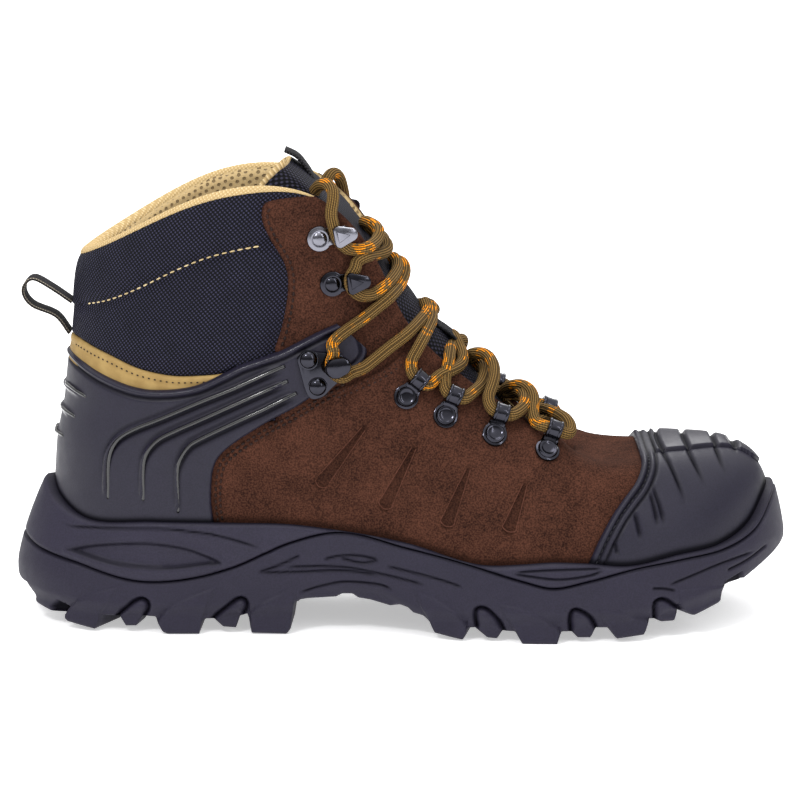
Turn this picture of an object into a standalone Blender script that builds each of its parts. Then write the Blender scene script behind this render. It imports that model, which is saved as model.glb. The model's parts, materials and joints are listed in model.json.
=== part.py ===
"""A right-foot work boot: sole, hollow upper, tongue, guards, lace and its hardware. +X is the toe, +Z up."""

from collections import namedtuple

import bmesh
import bpy
import numpy as np
from mathutils import Matrix, Vector

MM = 0.001

# Sizes of the last and the sole, in millimetres
LAST_LENGTH = 282.0
HEEL_BACK_X = -136.0
BALL_WIDTH = 96.0
COLLAR_HEIGHT = 174.0
BALL_SEAT = 18.0
HEEL_LIFT = 12.0
TOE_RISE = 12.0
GAP = 0.4

# Wall of the upper, thicker where the collar is padded
WALL = 2.6
COLLAR_PAD = 5.0

# Sole
LUG_DEPTH = 7.0
PLATE = 4.0
OUTSOLE_WALL = 2.4
RIM_WIDTH = 4.8
ARCH_HOLLOW = 8.5

# Samples round the shoe and up the wall
ROUND = 56
UP = 10

# One row for each place round the shoe, from the toe tip to the heel back.
# along and top_along are shares of LAST_LENGTH, lateral, medial and top_half of BALL_WIDTH, and
# top_height of COLLAR_HEIGHT, all in per cent. rise, lean and belly bend the wall near the sole;
# drop, reach and bulge bend it near the top line. belly and bulge are in millimetres.
Station = namedtuple(
    "Station",
    "name along lateral medial top_along top_half top_height rise lean belly drop reach bulge",
)
STATIONS = [
    Station("toe tip", 100.0, 6.3, 6.3, 73.0, 0.0, 40.8, 0.86, 0.00, 3.0, 0.05, 0.80, 0.0),
    Station("toe corner", 95.4, -22.9, 34.4, 71.6, 11.5, 41.4, 0.78, 0.00, 3.0, 0.08, 0.70, 0.0),
    Station("toe flank", 86.5, -42.2, 46.4, 68.1, 17.7, 44.8, 0.60, 0.00, 3.0, 0.15, 0.56, 0.0),
    Station("ball front", 74.1, -50.5, 49.5, 62.4, 21.9, 51.1, 0.48, 0.00, 3.0, 0.20, 0.50, 0.0),
    Station("ball rear", 61.7, -50.0, 43.2, 55.0, 25.0, 60.3, 0.44, 0.05, 3.0, 0.27, 0.46, 0.0),
    Station("waist front", 49.6, -43.8, 35.9, 48.9, 27.1, 71.3, 0.40, 0.10, 4.0, 0.30, 0.45, 1.0),
    Station("waist", 37.6, -39.6, 32.8, 44.7, 30.2, 85.6, 0.36, 0.20, 4.0, 0.33, 0.38, 2.0),
    Station("heel front", 24.8, -38.0, 34.4, 36.2, 36.5, 99.4, 0.33, 0.30, 4.0, 0.33, 0.33, 3.0),
    Station("heel mid", 13.5, -35.4, 33.9, 22.7, 40.6, 100.0, 0.33, 0.30, 3.0, 0.33, 0.33, 3.0),
    Station("heel corner", 4.3, -24.0, 23.4, 9.9, 29.2, 90.8, 0.33, 0.25, 3.0, 0.33, 0.25, 2.0),
    Station("heel back", 0.0, 0.0, 0.0, 3.2, 0.0, 85.1, 0.33, 0.20, 2.0, 0.33, 0.10, 1.0),
]
SIDE = len(STATIONS) - 1
LOOP = 2 * SIDE

# One row for each place along a side of the sole, counted in stations from the toe tip: how far the
# sole stands out from the last, the height of its rim, and the height of the outsole's wave edge.
Edge = namedtuple("Edge", "place flare rim wave")
SOLE_EDGE = [
    Edge(0.0, 7.0, 52.5, 50.5),
    Edge(0.4, 7.1, 49.5, 47.5),
    Edge(0.9, 7.4, 40.0, 38.0),
    Edge(1.4, 7.5, 35.0, 33.0),
    Edge(2.0, 7.5, 33.0, 31.0),
    Edge(2.6, 7.0, 30.0, 28.0),
    Edge(3.0, 6.5, 31.5, 24.5),
    Edge(3.4, 6.5, 32.0, 22.0),
    Edge(3.7, 6.3, 31.2, 24.5),
    Edge(4.1, 6.0, 30.5, 28.5),
    Edge(5.0, 4.5, 38.0, 36.0),
    Edge(6.0, 4.0, 43.0, 41.0),
    Edge(6.4, 4.3, 44.5, 37.0),
    Edge(7.0, 5.0, 45.0, 27.0),
    Edge(8.0, 7.0, 45.0, 21.0),
    Edge(9.0, 12.0, 44.5, 27.5),
    Edge(9.5, 15.0, 50.0, 30.5),
    Edge(10.0, 16.5, 56.0, 33.0),
]

# Lugs along both edges of the sole: where each starts and ends along X, how far it reaches in,
# and how far it leans forwards on its way in.
Lug = namedtuple("Lug", "back front reach lean")
LUGS = [
    Lug(-130.0, -118.0, 20.0, 4.0),
    Lug(-109.5, -98.5, 13.0, 2.0),
    Lug(-92.5, -78.0, 22.0, 4.0),
    Lug(-73.5, -62.0, 13.0, 2.0),
    Lug(-58.0, -43.6, 24.0, 4.0),
    Lug(13.0, 24.4, 22.0, -5.0),
    Lug(29.5, 39.4, 13.0, -3.0),
    Lug(47.0, 61.0, 24.0, -6.0),
    Lug(66.0, 74.0, 13.0, -3.0),
    Lug(82.0, 95.0, 22.0, -6.0),
    Lug(99.5, 107.5, 12.0, -3.0),
    Lug(111.0, 123.0, 16.0, -5.0),
]
# Lugs down the middle: centre along X, length and width
MIDDLE_LUGS = [(-100.0, 16.0, 20.0), (-66.0, 16.0, 20.0), (34.0, 14.0, 24.0), (58.0, 12.0, 26.0),
               (80.0, 12.0, 26.0), (101.0, 10.0, 24.0)]


def smooth(start, end, value):
    """0 before start, 1 after end, and a soft step between."""
    share = np.clip((np.asarray(value, float) - start) / (end - start), 0.0, 1.0)
    return share * share * (3.0 - 2.0 * share)


def footbed(x):
    """Height of the seat that the upper and the insole stand on."""
    toe = np.clip((np.asarray(x, float) - 80.0) / 66.0, 0.0, None)
    return BALL_SEAT + HEEL_LIFT * smooth(50.0, -60.0, x) + TOE_RISE * toe * toe


def tread(x):
    """Height of the lug bottoms: flat under heel and ball, rising at the toe and a little at the heel."""
    x = np.asarray(x, float)
    return 0.0043 * np.clip(x - 72.0, 0.0, None) ** 2 + 0.006 * np.clip(-115.0 - x, 0.0, None) ** 2


def base(x):
    """Height of the sole's underside between the lugs, with the hollow under the arch."""
    x = np.asarray(x, float)
    toe = 0.00237 * np.clip(x - 72.0, 0.0, None) ** 2
    heel = 0.0025 * np.clip(-115.0 - x, 0.0, None) ** 2
    arch = smooth(-45.0, -32.0, x) * smooth(12.0, -14.0, x)
    return LUG_DEPTH + toe + heel + ARCH_HOLLOW * arch


def closed_spline(rows):
    """Second differences of the smooth closed curve through evenly spaced rows."""
    count = len(rows)
    ring = 4.0 * np.eye(count) + np.roll(np.eye(count), 1, 0) + np.roll(np.eye(count), -1, 0)
    return np.linalg.solve(ring, 6.0 * (np.roll(rows, 1, 0) - 2.0 * rows + np.roll(rows, -1, 0)))


def along_ring(rows, bend, place):
    place = np.asarray(place, float) % len(rows)
    first = np.floor(place).astype(int)
    share = (place - first)[..., None]
    rest = 1.0 - share
    then = (first + 1) % len(rows)
    straight = rest * rows[first] + share * rows[then]
    return straight + (rest**3 - rest) * bend[first] / 6.0 + (share**3 - share) * bend[then] / 6.0


def control_rings():
    """Foot, flank, shoulder and top rings of the upper's outer form, each with its spline."""
    loop = [(row, -1.0) for row in STATIONS] + [(row, 1.0) for row in STATIONS[-2:0:-1]]
    foot = []
    top = []
    for row, side in loop:
        x = HEEL_BACK_X + row.along / 100.0 * LAST_LENGTH
        y = (row.lateral if side < 0.0 else row.medial) / 100.0 * BALL_WIDTH
        foot.append((x, y, float(footbed(x)) + GAP))
        top_x = HEEL_BACK_X + row.top_along / 100.0 * LAST_LENGTH
        top_y = side * row.top_half / 100.0 * BALL_WIDTH
        top.append((top_x, top_y, row.top_height / 100.0 * COLLAR_HEIGHT))
    foot = np.array(foot)
    top = np.array(top)
    tangent = np.roll(foot, -1, 0) - np.roll(foot, 1, 0)
    out = np.stack([-tangent[:, 1], tangent[:, 0], 0.0 * tangent[:, 0]], 1)
    out = -out / np.linalg.norm(out, axis=1)[:, None]
    out = out * np.sign(out[0, 0])

    def column(name):
        return np.array([getattr(row, name) for row, side in loop])[:, None]

    upward = (top - foot) * (0.0, 0.0, 1.0)
    across = (top - foot) * (1.0, 1.0, 0.0)
    flank = foot + column("rise") * upward + column("lean") * across + column("belly") * out
    shoulder = top - column("drop") * upward - column("reach") * across + column("bulge") * out
    return [(ring, closed_spline(ring)) for ring in (foot, flank, shoulder, top)]


RINGS = control_rings()


def vamp_dip(point, share):
    """How far the vamp's ridge dips between throat and toe cap. On the inner side it starts further back."""
    along = point[..., 0]
    inner = smooth(-6.0, 10.0, point[..., 1])
    start = (1.0 - inner) * smooth(58.0, 74.0, along) + inner * smooth(25.0, 66.0, along)
    return 6.2 * start * smooth(126.0, 78.0, along) * smooth(0.5, 0.9, share)


def form(place, share):
    """A point of the upper's outer form: place round the shoe, share of the way from sole to top line."""
    place, share = np.broadcast_arrays(np.asarray(place, float), np.asarray(share, float))
    foot, flank, shoulder, top = [along_ring(ring, bend, place) for ring, bend in RINGS]
    t = share[..., None]
    s = 1.0 - t
    point = s**3 * foot + 3.0 * t * s**2 * flank + 3.0 * t**2 * s * shoulder + t**3 * top
    return point - vamp_dip(point, share)[..., None] * np.array([0.0, 0.0, 1.0])


def slopes(place, share, step=1e-3):
    place, share = np.broadcast_arrays(np.asarray(place, float), np.asarray(share, float))
    round_way = (form(place + step, share) - form(place - step, share)) / (2.0 * step)
    up_way = (form(place, share + step) - form(place, share - step)) / (2.0 * step)
    return round_way, up_way


def outward(place, share):
    """Unit normal of the form, pointing away from the foot."""
    round_way, up_way = slopes(place, share)
    normal = np.cross(up_way, round_way)
    return normal / np.linalg.norm(normal, axis=-1)[..., None]


def wall(place, share):
    """Thickness of the upper, with the padded collar at the sides and back."""
    place = np.asarray(place, float) % LOOP
    from_toe = np.minimum(place, LOOP - place)
    return WALL + COLLAR_PAD * smooth(6.9, 7.8, from_toe) * smooth(0.45, 0.75, share)


def on_form(place, share, offset):
    return form(place, share) + np.asarray(offset)[..., None] * outward(place, share)


def share_at(place, height):
    """The share of the wall at which it reaches a height, found by halving."""
    low = np.zeros_like(place)
    high = np.full_like(place, 0.6)
    for _ in range(30):
        middle = 0.5 * (low + high)
        below = form(place, middle)[..., 2] < height
        low = np.where(below, middle, low)
        high = np.where(below, high, middle)
    return 0.5 * (low + high)


def sole_column(name, place):
    """A column of SOLE_EDGE as a smooth curve round the shoe, the same on both sides."""
    place = np.asarray(place, float) % LOOP
    place = np.minimum(place, LOOP - place)
    known = np.array([row.place for row in SOLE_EDGE])
    value = np.array([getattr(row, name) for row in SOLE_EDGE])
    slope = np.gradient(value, known)
    slope[0] = 0.0
    slope[-1] = 0.0
    first = np.clip(np.searchsorted(known, place, "right") - 1, 0, len(known) - 2)
    width = known[first + 1] - known[first]
    t = (place - known[first]) / width
    rise = value[first + 1] - value[first]
    bent = (t - 2.0 * t**2 + t**3) * slope[first] * width + (t**3 - t**2) * slope[first + 1] * width
    return value[first] + (3.0 * t**2 - 2.0 * t**3) * rise + bent


def plan_out(place):
    """Level unit direction away from the last's outline."""
    round_way, up_way = slopes(place, 0.0)
    out = np.stack([round_way[..., 1], -round_way[..., 0], 0.0 * round_way[..., 0]], -1)
    out = out / np.linalg.norm(out, axis=-1)[..., None]
    return -out


def side_wall(place, height, inset=0.0):
    """Outside of the sole at a height, widest low down and drawn in towards the rim."""
    rim = sole_column("rim", place)
    out = plan_out(place)
    edge = form(place, share_at(place, rim)) + out * RIM_WIDTH
    wide = form(place, 0.0) + out * sole_column("flare", place)[..., None]
    low = base(wide[..., 0]) + 6.0
    share = np.clip((height - low) / (rim - low), 0.0, 1.0)[..., None]
    tuck = 2.2 * smooth(6.0, 0.0, height - base(wide[..., 0]))[..., None]
    point = wide + (edge - wide) * share**1.5 - out * (tuck + inset)
    point[..., 2] = height
    return point


def middle_of_sole():
    """Middle of the sole's outline in plan, which becomes the origin."""
    places = np.linspace(0.0, LOOP, 800)
    edge = side_wall(places, base(form(places, 0.0)[:, 0]) + 6.0)
    return np.append(0.5 * (edge.max(0) + edge.min(0))[:2], 0.0)


MIDDLE = middle_of_sole()


# Scene

for old in list(bpy.data.objects):
    bpy.data.objects.remove(old)

PARTS = bpy.data.collections.new("work_shoe")
CUTTERS = bpy.data.collections.new("cutters")
bpy.context.scene.collection.children.link(PARTS)
bpy.context.scene.collection.children.link(CUTTERS)
CUTTERS.hide_render = True


def material(name, colour, roughness, metallic=0.0):
    made = bpy.data.materials.new(name)
    made.use_nodes = True
    shader = made.node_tree.nodes["Principled BSDF"]
    shader.inputs["Base Color"].default_value = (*colour, 1.0)
    shader.inputs["Roughness"].default_value = roughness
    shader.inputs["Metallic"].default_value = metallic
    return made


RUBBER = ("rubber", (0.032, 0.032, 0.038), 0.55)
FOAM = ("foam", (0.040, 0.040, 0.047), 0.65)
SUEDE = ("suede", (0.080, 0.034, 0.022), 0.9)
TEXTILE = ("textile", (0.021, 0.023, 0.034), 0.85)
LINING = ("lining", (0.62, 0.47, 0.24), 0.9)
METAL = ("black_nickel", (0.05, 0.05, 0.055), 0.25, 0.9)
CORD = ("cord", (0.20, 0.13, 0.05), 0.8)
WEBBING = ("webbing", (0.030, 0.028, 0.030), 0.85)


def mesh_object(name, points, faces, look=None, home=None):
    """A mesh object from points in millimetres, its faces turned outwards."""
    mesh = bpy.data.meshes.new(name)
    placed = (np.asarray(points, float) - MIDDLE) * MM
    mesh.from_pydata(placed.tolist(), [], faces)
    work = bmesh.new()
    work.from_mesh(mesh)
    bmesh.ops.remove_doubles(work, verts=work.verts, dist=1e-6)
    bmesh.ops.recalc_face_normals(work, faces=work.faces)
    work.to_mesh(mesh)
    work.free()
    made = bpy.data.objects.new(name, mesh)
    (home or PARTS).objects.link(made)
    if look:
        mesh.materials.append(material(name + "_" + look[0], *look[1:]))
    if home is CUTTERS:
        made.hide_render = True
        made.display_type = "WIRE"
    return made


def apply_modifiers(made):
    """Keeps the evaluated mesh and drops the modifiers."""
    graph = bpy.context.evaluated_depsgraph_get()
    mesh = bpy.data.meshes.new_from_object(made.evaluated_get(graph))
    made.modifiers.clear()
    made.data = mesh


def boolean(target, cutter, operation):
    step = target.modifiers.new(operation.lower(), "BOOLEAN")
    step.operation = operation
    step.solver = "EXACT"
    step.object = cutter
    apply_modifiers(target)


def ring_faces(count, rings):
    """Quads between rings of points that follow one another, each ring closed on itself."""
    faces = []
    for ring in range(rings - 1):
        for i in range(count):
            j = (i + 1) % count
            faces.append((ring * count + i, ring * count + j, (ring + 1) * count + j, (ring + 1) * count + i))
    return faces


def ladder_faces(count, start):
    """Faces across a ring whose two sides run from toe to heel, from each point to its opposite."""
    faces = [(start, start + 1, start + count - 1)]
    half = count // 2
    for i in range(1, half - 1):
        faces.append((start + i, start + i + 1, start + count - i - 1, start + count - i))
    faces.append((start + half - 1, start + half, start + half + 1))
    return faces


def ladder_solid(name, rings, look):
    """A solid lofted through rings, closed by a ladder of faces across the first and the last."""
    count = len(rings[0])
    faces = ring_faces(count, len(rings))
    faces += ladder_faces(count, 0)
    faces += ladder_faces(count, (len(rings) - 1) * count)
    return mesh_object(name, np.concatenate(rings), faces, look)


def at_height(points, height):
    points = np.array(points)
    points[..., 2] = height
    return points


PLACES = np.arange(ROUND) * LOOP / ROUND


# Sole

def sole_heights():
    """Underside, inner floor, middle of the wall and wave edge of the outsole at each place."""
    under = base(side_wall(PLACES, base(form(PLACES, 0.0)[:, 0]) + 3.0)[:, 0])
    floor = under + PLATE
    wave = sole_column("wave", PLACES)
    middle = np.maximum(0.5 * (under + 6.0 + wave), floor + 2.5)
    return under, floor, middle, wave


def build_outsole():
    under, floor, middle, wave = sole_heights()
    rings = [
        side_wall(PLACES, under),
        side_wall(PLACES, under + 3.0),
        side_wall(PLACES, under + 6.0),
        side_wall(PLACES, np.maximum(middle, under + 7.0)),
        side_wall(PLACES, wave - 1.0),
        side_wall(PLACES, wave, 0.7),
        side_wall(PLACES, wave, OUTSOLE_WALL),
        side_wall(PLACES, middle, OUTSOLE_WALL),
        side_wall(PLACES, floor, OUTSOLE_WALL),
    ]
    outsole = ladder_solid("outsole", rings, RUBBER)
    for lug in lug_blocks():
        boolean(outsole, lug, "UNION")
    return outsole


def lug_blocks():
    """Blocks under the edge of the sole on both sides, and down its middle."""
    blocks = []
    fine = np.linspace(0.0, SIDE, 400)
    for side in (-1, 1):
        places = fine if side < 0 else LOOP - fine
        edge = side_wall(places, base(form(places, 0.0)[:, 0]) + 3.0, 0.4)
        order = np.argsort(edge[:, 0])
        for row in LUGS:
            x = np.linspace(row.back, row.front, 3)
            y = np.interp(x, edge[order, 0], edge[order, 1])
            outer = np.stack([x, y], 1)
            inner = np.stack([x[::-1] + row.lean, y[::-1] - side * row.reach], 1)
            blocks.append(block("lug", np.concatenate([outer, inner]), side))
    for x, length, width in MIDDLE_LUGS:
        half = 0.5 * length
        outline = [(x - half, -0.5 * width), (x + half, 0.0), (x - half, 0.5 * width),
                   (x - 2.0 * half, 0.5 * width), (x - 0.6 * half, 0.0), (x - 2.0 * half, -0.5 * width)]
        blocks.append(block("middle_lug", np.array(outline), 0))
    return blocks


def block(name, outline, side):
    """A lug: tapered from the sole's underside down to the ground."""
    centre = outline.mean(0)
    lower = centre + (outline - centre) * 0.86
    bottom = np.column_stack([lower, tread(lower[:, 0])])
    upper = np.column_stack([outline, base(outline[:, 0]) + 1.8])
    count = len(outline)
    faces = ring_faces(count, 2)
    faces.append(tuple(range(count)))
    faces.append(tuple(range(count, 2 * count)))
    return mesh_object(name, np.concatenate([bottom, upper]), faces, None, CUTTERS)


def build_midsole():
    under, floor, middle, wave = sole_heights()
    rim = sole_column("rim", PLACES)
    rim_share = share_at(PLACES, rim)
    clear = np.full(ROUND, GAP)
    inside = OUTSOLE_WALL + GAP
    rings = [
        side_wall(PLACES, floor + GAP, inside),
        side_wall(PLACES, middle, inside),
        side_wall(PLACES, wave + GAP, inside),
        side_wall(PLACES, wave + GAP, 0.5),
        side_wall(PLACES, 0.5 * (wave + rim), 0.0),
        side_wall(PLACES, rim - 0.5, 0.4),
        at_height(side_wall(PLACES, rim, 1.2), rim),
        at_height(on_form(PLACES, rim_share, clear), rim),
        on_form(PLACES, 0.66 * rim_share, clear),
        on_form(PLACES, 0.33 * rim_share, clear),
        at_height(on_form(PLACES, 0.0, clear), footbed(form(PLACES, 0.0)[:, 0])),
    ]
    return ladder_solid("midsole", rings, FOAM)


# Upper, insole and tongue

def shell(name, low, high, inner, outer, look, home=None, rows=UP):
    """A wall between two offsets of the form, from a low to a high share of its height."""
    steps = np.linspace(0.0, 1.0, rows)
    outside = []
    inside = []
    for step in steps:
        share = low + (high - low) * step
        outside.append(on_form(PLACES, share, outer(PLACES, share)))
        inside.append(on_form(PLACES, share, inner(PLACES, share)))
    rings = outside + inside[::-1]
    rings.append(outside[0])
    return mesh_object(name, np.concatenate(rings), ring_faces(ROUND, len(rings)), look, home)


def build_upper():
    zero = np.zeros(ROUND)
    return shell("upper", zero, zero + 1.0, lambda q, t: -wall(q, t), lambda q, t: 0.0 * q, SUEDE)


def build_insole():
    inside = WALL + 0.6
    seat = footbed(form(PLACES, 0.0)[:, 0])
    rings = []
    for rise, tuck in ((GAP, 1.0), (1.5, 0.2), (4.0, 0.2), (5.0, 1.0)):
        share = share_at(PLACES, seat + max(rise, 0.6))
        rings.append(at_height(on_form(PLACES, share, np.full(ROUND, -inside - tuck)), seat + rise))
    return ladder_solid("insole", rings, LINING)


# One row for each fold line across the tongue, counted in stations up the throat: how much it is
# crowned between the eyestays, how thick it is in the middle, and how much of it is tucked under them.
Fold = namedtuple("Fold", "place crown thick tucked")
TONGUE = [
    Fold(1.2, 0.50, 3.0, 0.8),
    Fold(2.0, 0.80, 4.0, 1.0),
    Fold(2.8, 1.00, 5.0, 1.0),
    Fold(3.6, 1.15, 6.0, 1.0),
    Fold(4.4, 1.15, 6.5, 1.0),
    Fold(5.1, 1.05, 7.0, 1.0),
    Fold(5.7, 0.80, 7.0, 0.9),
    Fold(6.2, 0.55, 7.0, 0.7),
    Fold(6.6, 0.40, 7.0, 0.5),
]
# The tongue's top, above the throat: how far the last fold line is moved back and up, its share of
# width and its thickness
TopFold = namedtuple("TopFold", "back up width thick")
TONGUE_TOP = [TopFold(8.0, 7.0, 0.88, 7.0), TopFold(14.0, 11.0, 0.78, 6.5), TopFold(19.0, 13.5, 0.62, 5.0)]
# The tongue's front end, under the vamp: half its spread in stations and its share up the wall
NOSE_SPREAD = 1.0
NOSE_SHARE = 0.92
TUCK = (13.0, 7.0, 1.0)
BRIDGE = (0.12, 0.3, 0.5, 0.7, 0.88)


def throat_side(place, tuck):
    """A point of the tongue under the eyestay, and the direction across the throat there."""
    round_way, up_way = slopes(place, 1.0)
    normal = outward(place, 1.0)
    edge = round_way / np.linalg.norm(round_way)
    into = np.cross(normal, edge)
    if into @ up_way < 0.0:
        into = -into
    grid = np.stack([round_way, up_way], 1)
    move = np.linalg.lstsq(grid, -tuck * into, rcond=None)[0]
    spot = (place + move[0], 1.0 + move[1])
    depth = float(wall(spot[0], min(spot[1], 1.0))) + GAP + 0.5
    return form(*spot) - depth * outward(*spot), into


def build_tongue():
    nose = np.linspace(NOSE_SPREAD, -NOSE_SPREAD, 2 * len(TUCK) + len(BRIDGE))
    rows = [on_form(nose, NOSE_SHARE, np.full(len(nose), -WALL - GAP - 5.2))]
    thick = [2.5]
    for fold in TONGUE:
        near = [throat_side(fold.place, tuck * fold.tucked) for tuck in TUCK]
        far = [throat_side(LOOP - fold.place, tuck * fold.tucked) for tuck in TUCK]
        start, start_way = near[-1]
        end, end_way = far[-1]
        pull = fold.crown * np.linalg.norm(end - start)
        row = [point for point, way in near]
        for t in BRIDGE:
            straight = (1.0 - 3.0 * t**2 + 2.0 * t**3) * start + (3.0 * t**2 - 2.0 * t**3) * end
            crown = (t - 2.0 * t**2 + t**3) * start_way - (t**3 - t**2) * end_way
            row.append(straight + pull * crown)
        row += [point for point, way in far[::-1]]
        rows.append(np.array(row))
        thick.append(fold.thick)
    last = rows[-1]
    for fold in TONGUE_TOP:
        rows.append(last * (1.0, fold.width, 1.0) + (-fold.back, 0.0, fold.up))
        thick.append(fold.thick)
    outer = np.array(rows)
    along_way = np.gradient(outer, axis=0)
    across_way = np.gradient(outer, axis=1)
    normal = np.cross(across_way, along_way)
    normal /= np.linalg.norm(normal, axis=-1)[..., None]
    normal *= np.sign(normal[3, 5, 2])
    count = outer.shape[1]
    edge = np.sin(np.pi * (np.arange(count) + 0.8) / (count + 0.6)) ** 0.6
    depth = np.array(thick)[:, None] * np.maximum(edge, 0.35)
    inner = outer - normal * depth[..., None]
    return slab("tongue", outer, inner, TEXTILE)


def slab(name, outer, inner, look):
    """A closed sheet between two grids of points."""
    rows, count = outer.shape[:2]
    points = np.concatenate([outer.reshape(-1, 3), inner.reshape(-1, 3)])
    half = rows * count
    faces = []
    for r in range(rows - 1):
        for c in range(count - 1):
            quad = (r * count + c, r * count + c + 1, (r + 1) * count + c + 1, (r + 1) * count + c)
            faces.append(quad)
            faces.append(tuple(half + i for i in quad[::-1]))
    rim = [c for c in range(count)]
    rim += [r * count + count - 1 for r in range(1, rows)]
    rim += [(rows - 1) * count + c for c in range(count - 2, -1, -1)]
    rim += [r * count for r in range(rows - 2, 0, -1)]
    for a, b in zip(rim, rim[1:] + rim[:1]):
        faces.append((a, b, half + b, half + a))
    return mesh_object(name, points, faces, look)


# Guards: the parts of a wall round the upper that lie inside an outline seen from the side

GUARD = 2.2
GUARD_GAP = 0.6
# Rear edge of the toe cap, from the sole up: x and height
CAP_EDGE = [(73.5, 15.0), (73.7, 30.5), (78.0, 39.4), (85.1, 49.7), (92.8, 58.8), (96.0, 66.0), (94.0, 90.0)]
# Top edge of the heel counter from the back to the end of its arm, then its front edge down to the sole
COUNTER_TOP = [(-131.0, 103.5), (-118.6, 101.6), (-108.0, 97.7), (-95.7, 95.9), (-88.2, 96.2),
               (-77.8, 98.4), (-65.8, 102.7), (-38.6, 114.5), (-23.3, 120.3)]
COUNTER_FRONT = [(-17.5, 117.0), (-22.5, 108.0), (-27.4, 98.5), (-36.6, 93.3), (-52.3, 84.5),
                 (-64.2, 77.4), (-71.1, 71.4), (-73.3, 63.0), (-74.1, 52.8), (-73.0, 44.0), (-73.0, 15.0)]
TOE_END = [(170.0, 90.0), (170.0, 15.0)]
HEEL_END = [(-170.0, 15.0), (-170.0, 103.5)]
SIDE_REACH = 90.0


def side_prism(name, outline):
    """A helper that keeps what lies inside an outline seen from the side."""
    near = [(x, -SIDE_REACH, z) for x, z in outline]
    far = [(x, SIDE_REACH, z) for x, z in outline]
    count = len(outline)
    faces = ring_faces(count, 2)
    faces.append(tuple(range(count)))
    faces.append(tuple(range(count, 2 * count)))
    return mesh_object(name, np.array(near + far), faces, None, CUTTERS)


def build_guard(name, outline, high):
    rim = share_at(PLACES, sole_column("rim", PLACES) + 0.6)
    top = np.maximum(np.full(ROUND, high), rim + 0.05)
    near = np.full(ROUND, GUARD_GAP)
    guard = shell(name, rim, top, lambda q, t: near, lambda q, t: near + GUARD, RUBBER, None, 9)
    boolean(guard, side_prism(name + "_outline", outline), "INTERSECT")
    return guard


# Hardware: each row is a rivet and the point that its loop or hook is turned towards, as places
# round the shoe and shares of the wall's height. lift is how far the plate sits off the upper.
Fitting = namedtuple("Fitting", "kind rivet rivet_share aim aim_share lift")
FITTINGS = [
    Fitting("lace_loop", 2.93, 0.682, 2.11, 0.945, 0.5),
    Fitting("lace_loop", 3.65, 0.690, 3.18, 0.932, 0.5),
    Fitting("lace_loop", 4.36, 0.685, 4.00, 0.880, 0.5),
    Fitting("lace_loop", 5.01, 0.670, 4.60, 0.843, 0.5),
    Fitting("lock_hook", 6.50, 0.560, 6.22, 0.617, GUARD_GAP + GUARD + 0.5),
    Fitting("open_hook", 6.53, 0.812, 6.18, 0.883, 0.5),
    Fitting("open_hook", 6.81, 0.902, 6.45, 0.978, 0.5),
]
PLATE_THICK = 1.0
RIVET_R = 3.4
RIVET_HIGH = 1.3
EYE_OUT = 8.0
EYE_R = 2.9
EYE_WALL = 0.9
EYE_HALF = 2.5
HOOK_OUT = 9.0
HOOK_HIGH = 6.2
LACE_R = 2.3
# Outline of the lock hook's plate, which holds two rivets
LOCK_PLATE = [(-5.0, -7.5), (-1.0, -9.5), (4.0, -7.0), (12.0, -3.0),
              (12.0, 3.5), (4.0, 8.0), (-1.0, 10.0), (-5.5, 7.5)]


def fitting_frame(row, side):
    """Origin and axes of a fitting: towards its eye or hook, towards the toe or down, and off the upper."""
    place = row.rivet if side < 0 else LOOP - row.rivet
    aim_place = row.aim if side < 0 else LOOP - row.aim
    normal = outward(place, row.rivet_share)
    origin = form(place, row.rivet_share) + normal * row.lift
    towards = form(aim_place, row.aim_share) - origin
    towards = towards - normal * (towards @ normal)
    towards /= np.linalg.norm(towards)
    across = np.cross(normal, towards)
    if across[0] - across[2] < 0.0:
        across = -across
    return origin, np.stack([towards, across, normal])


def placed(points, frame):
    origin, axes = frame
    return np.asarray(points, float) @ axes + origin


def prism(outline, low, high, taper=1.0):
    """Points and faces of an outline raised from low to high, drawn in by taper at the top."""
    outline = np.asarray(outline, float)
    count = len(outline)
    centre = outline.mean(0)
    upper = centre + (outline - centre) * taper
    points = np.concatenate([np.column_stack([outline, np.full(count, low)]),
                             np.column_stack([upper, np.full(count, high)])])
    faces = ring_faces(count, 2)
    faces.append(tuple(range(count)))
    faces.append(tuple(range(count, 2 * count)))
    return points, faces


def arc(centre, radius, start, end, count):
    turn = np.radians(np.linspace(start, end, count))
    return np.stack([centre[0] + radius * np.cos(turn), centre[1] + radius * np.sin(turn)], 1)


def joined(name, shapes, look):
    """One solid from shapes that overlap."""
    made = mesh_object(name, *shapes[0], look)
    for points, faces in shapes[1:]:
        boolean(made, mesh_object(name + "_piece", points, faces, None, CUTTERS), "UNION")
    return made


def eye_tube(frame):
    """The tube of a lace loop, open at both ends."""
    rings = []
    middle = (EYE_OUT, PLATE_THICK + EYE_R - 0.2)
    for radius, end in ((EYE_R + EYE_WALL, -1), (EYE_R + EYE_WALL, 1), (EYE_R, 1), (EYE_R, -1)):
        circle = arc(middle, radius, 0.0, 315.0, 8)
        rings.append(np.column_stack([circle[:, 0], np.full(8, end * EYE_HALF), circle[:, 1]]))
    rings.append(rings[0])
    return placed(np.concatenate(rings), frame), ring_faces(8, 5)


def plate_outline(reach, half):
    """A plate rounded about its rivet, with a straight end of the given half width."""
    return np.concatenate([arc((0.0, 0.0), 4.4, 60.0, 300.0, 7), [(reach, -half), (reach, half)]])


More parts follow.
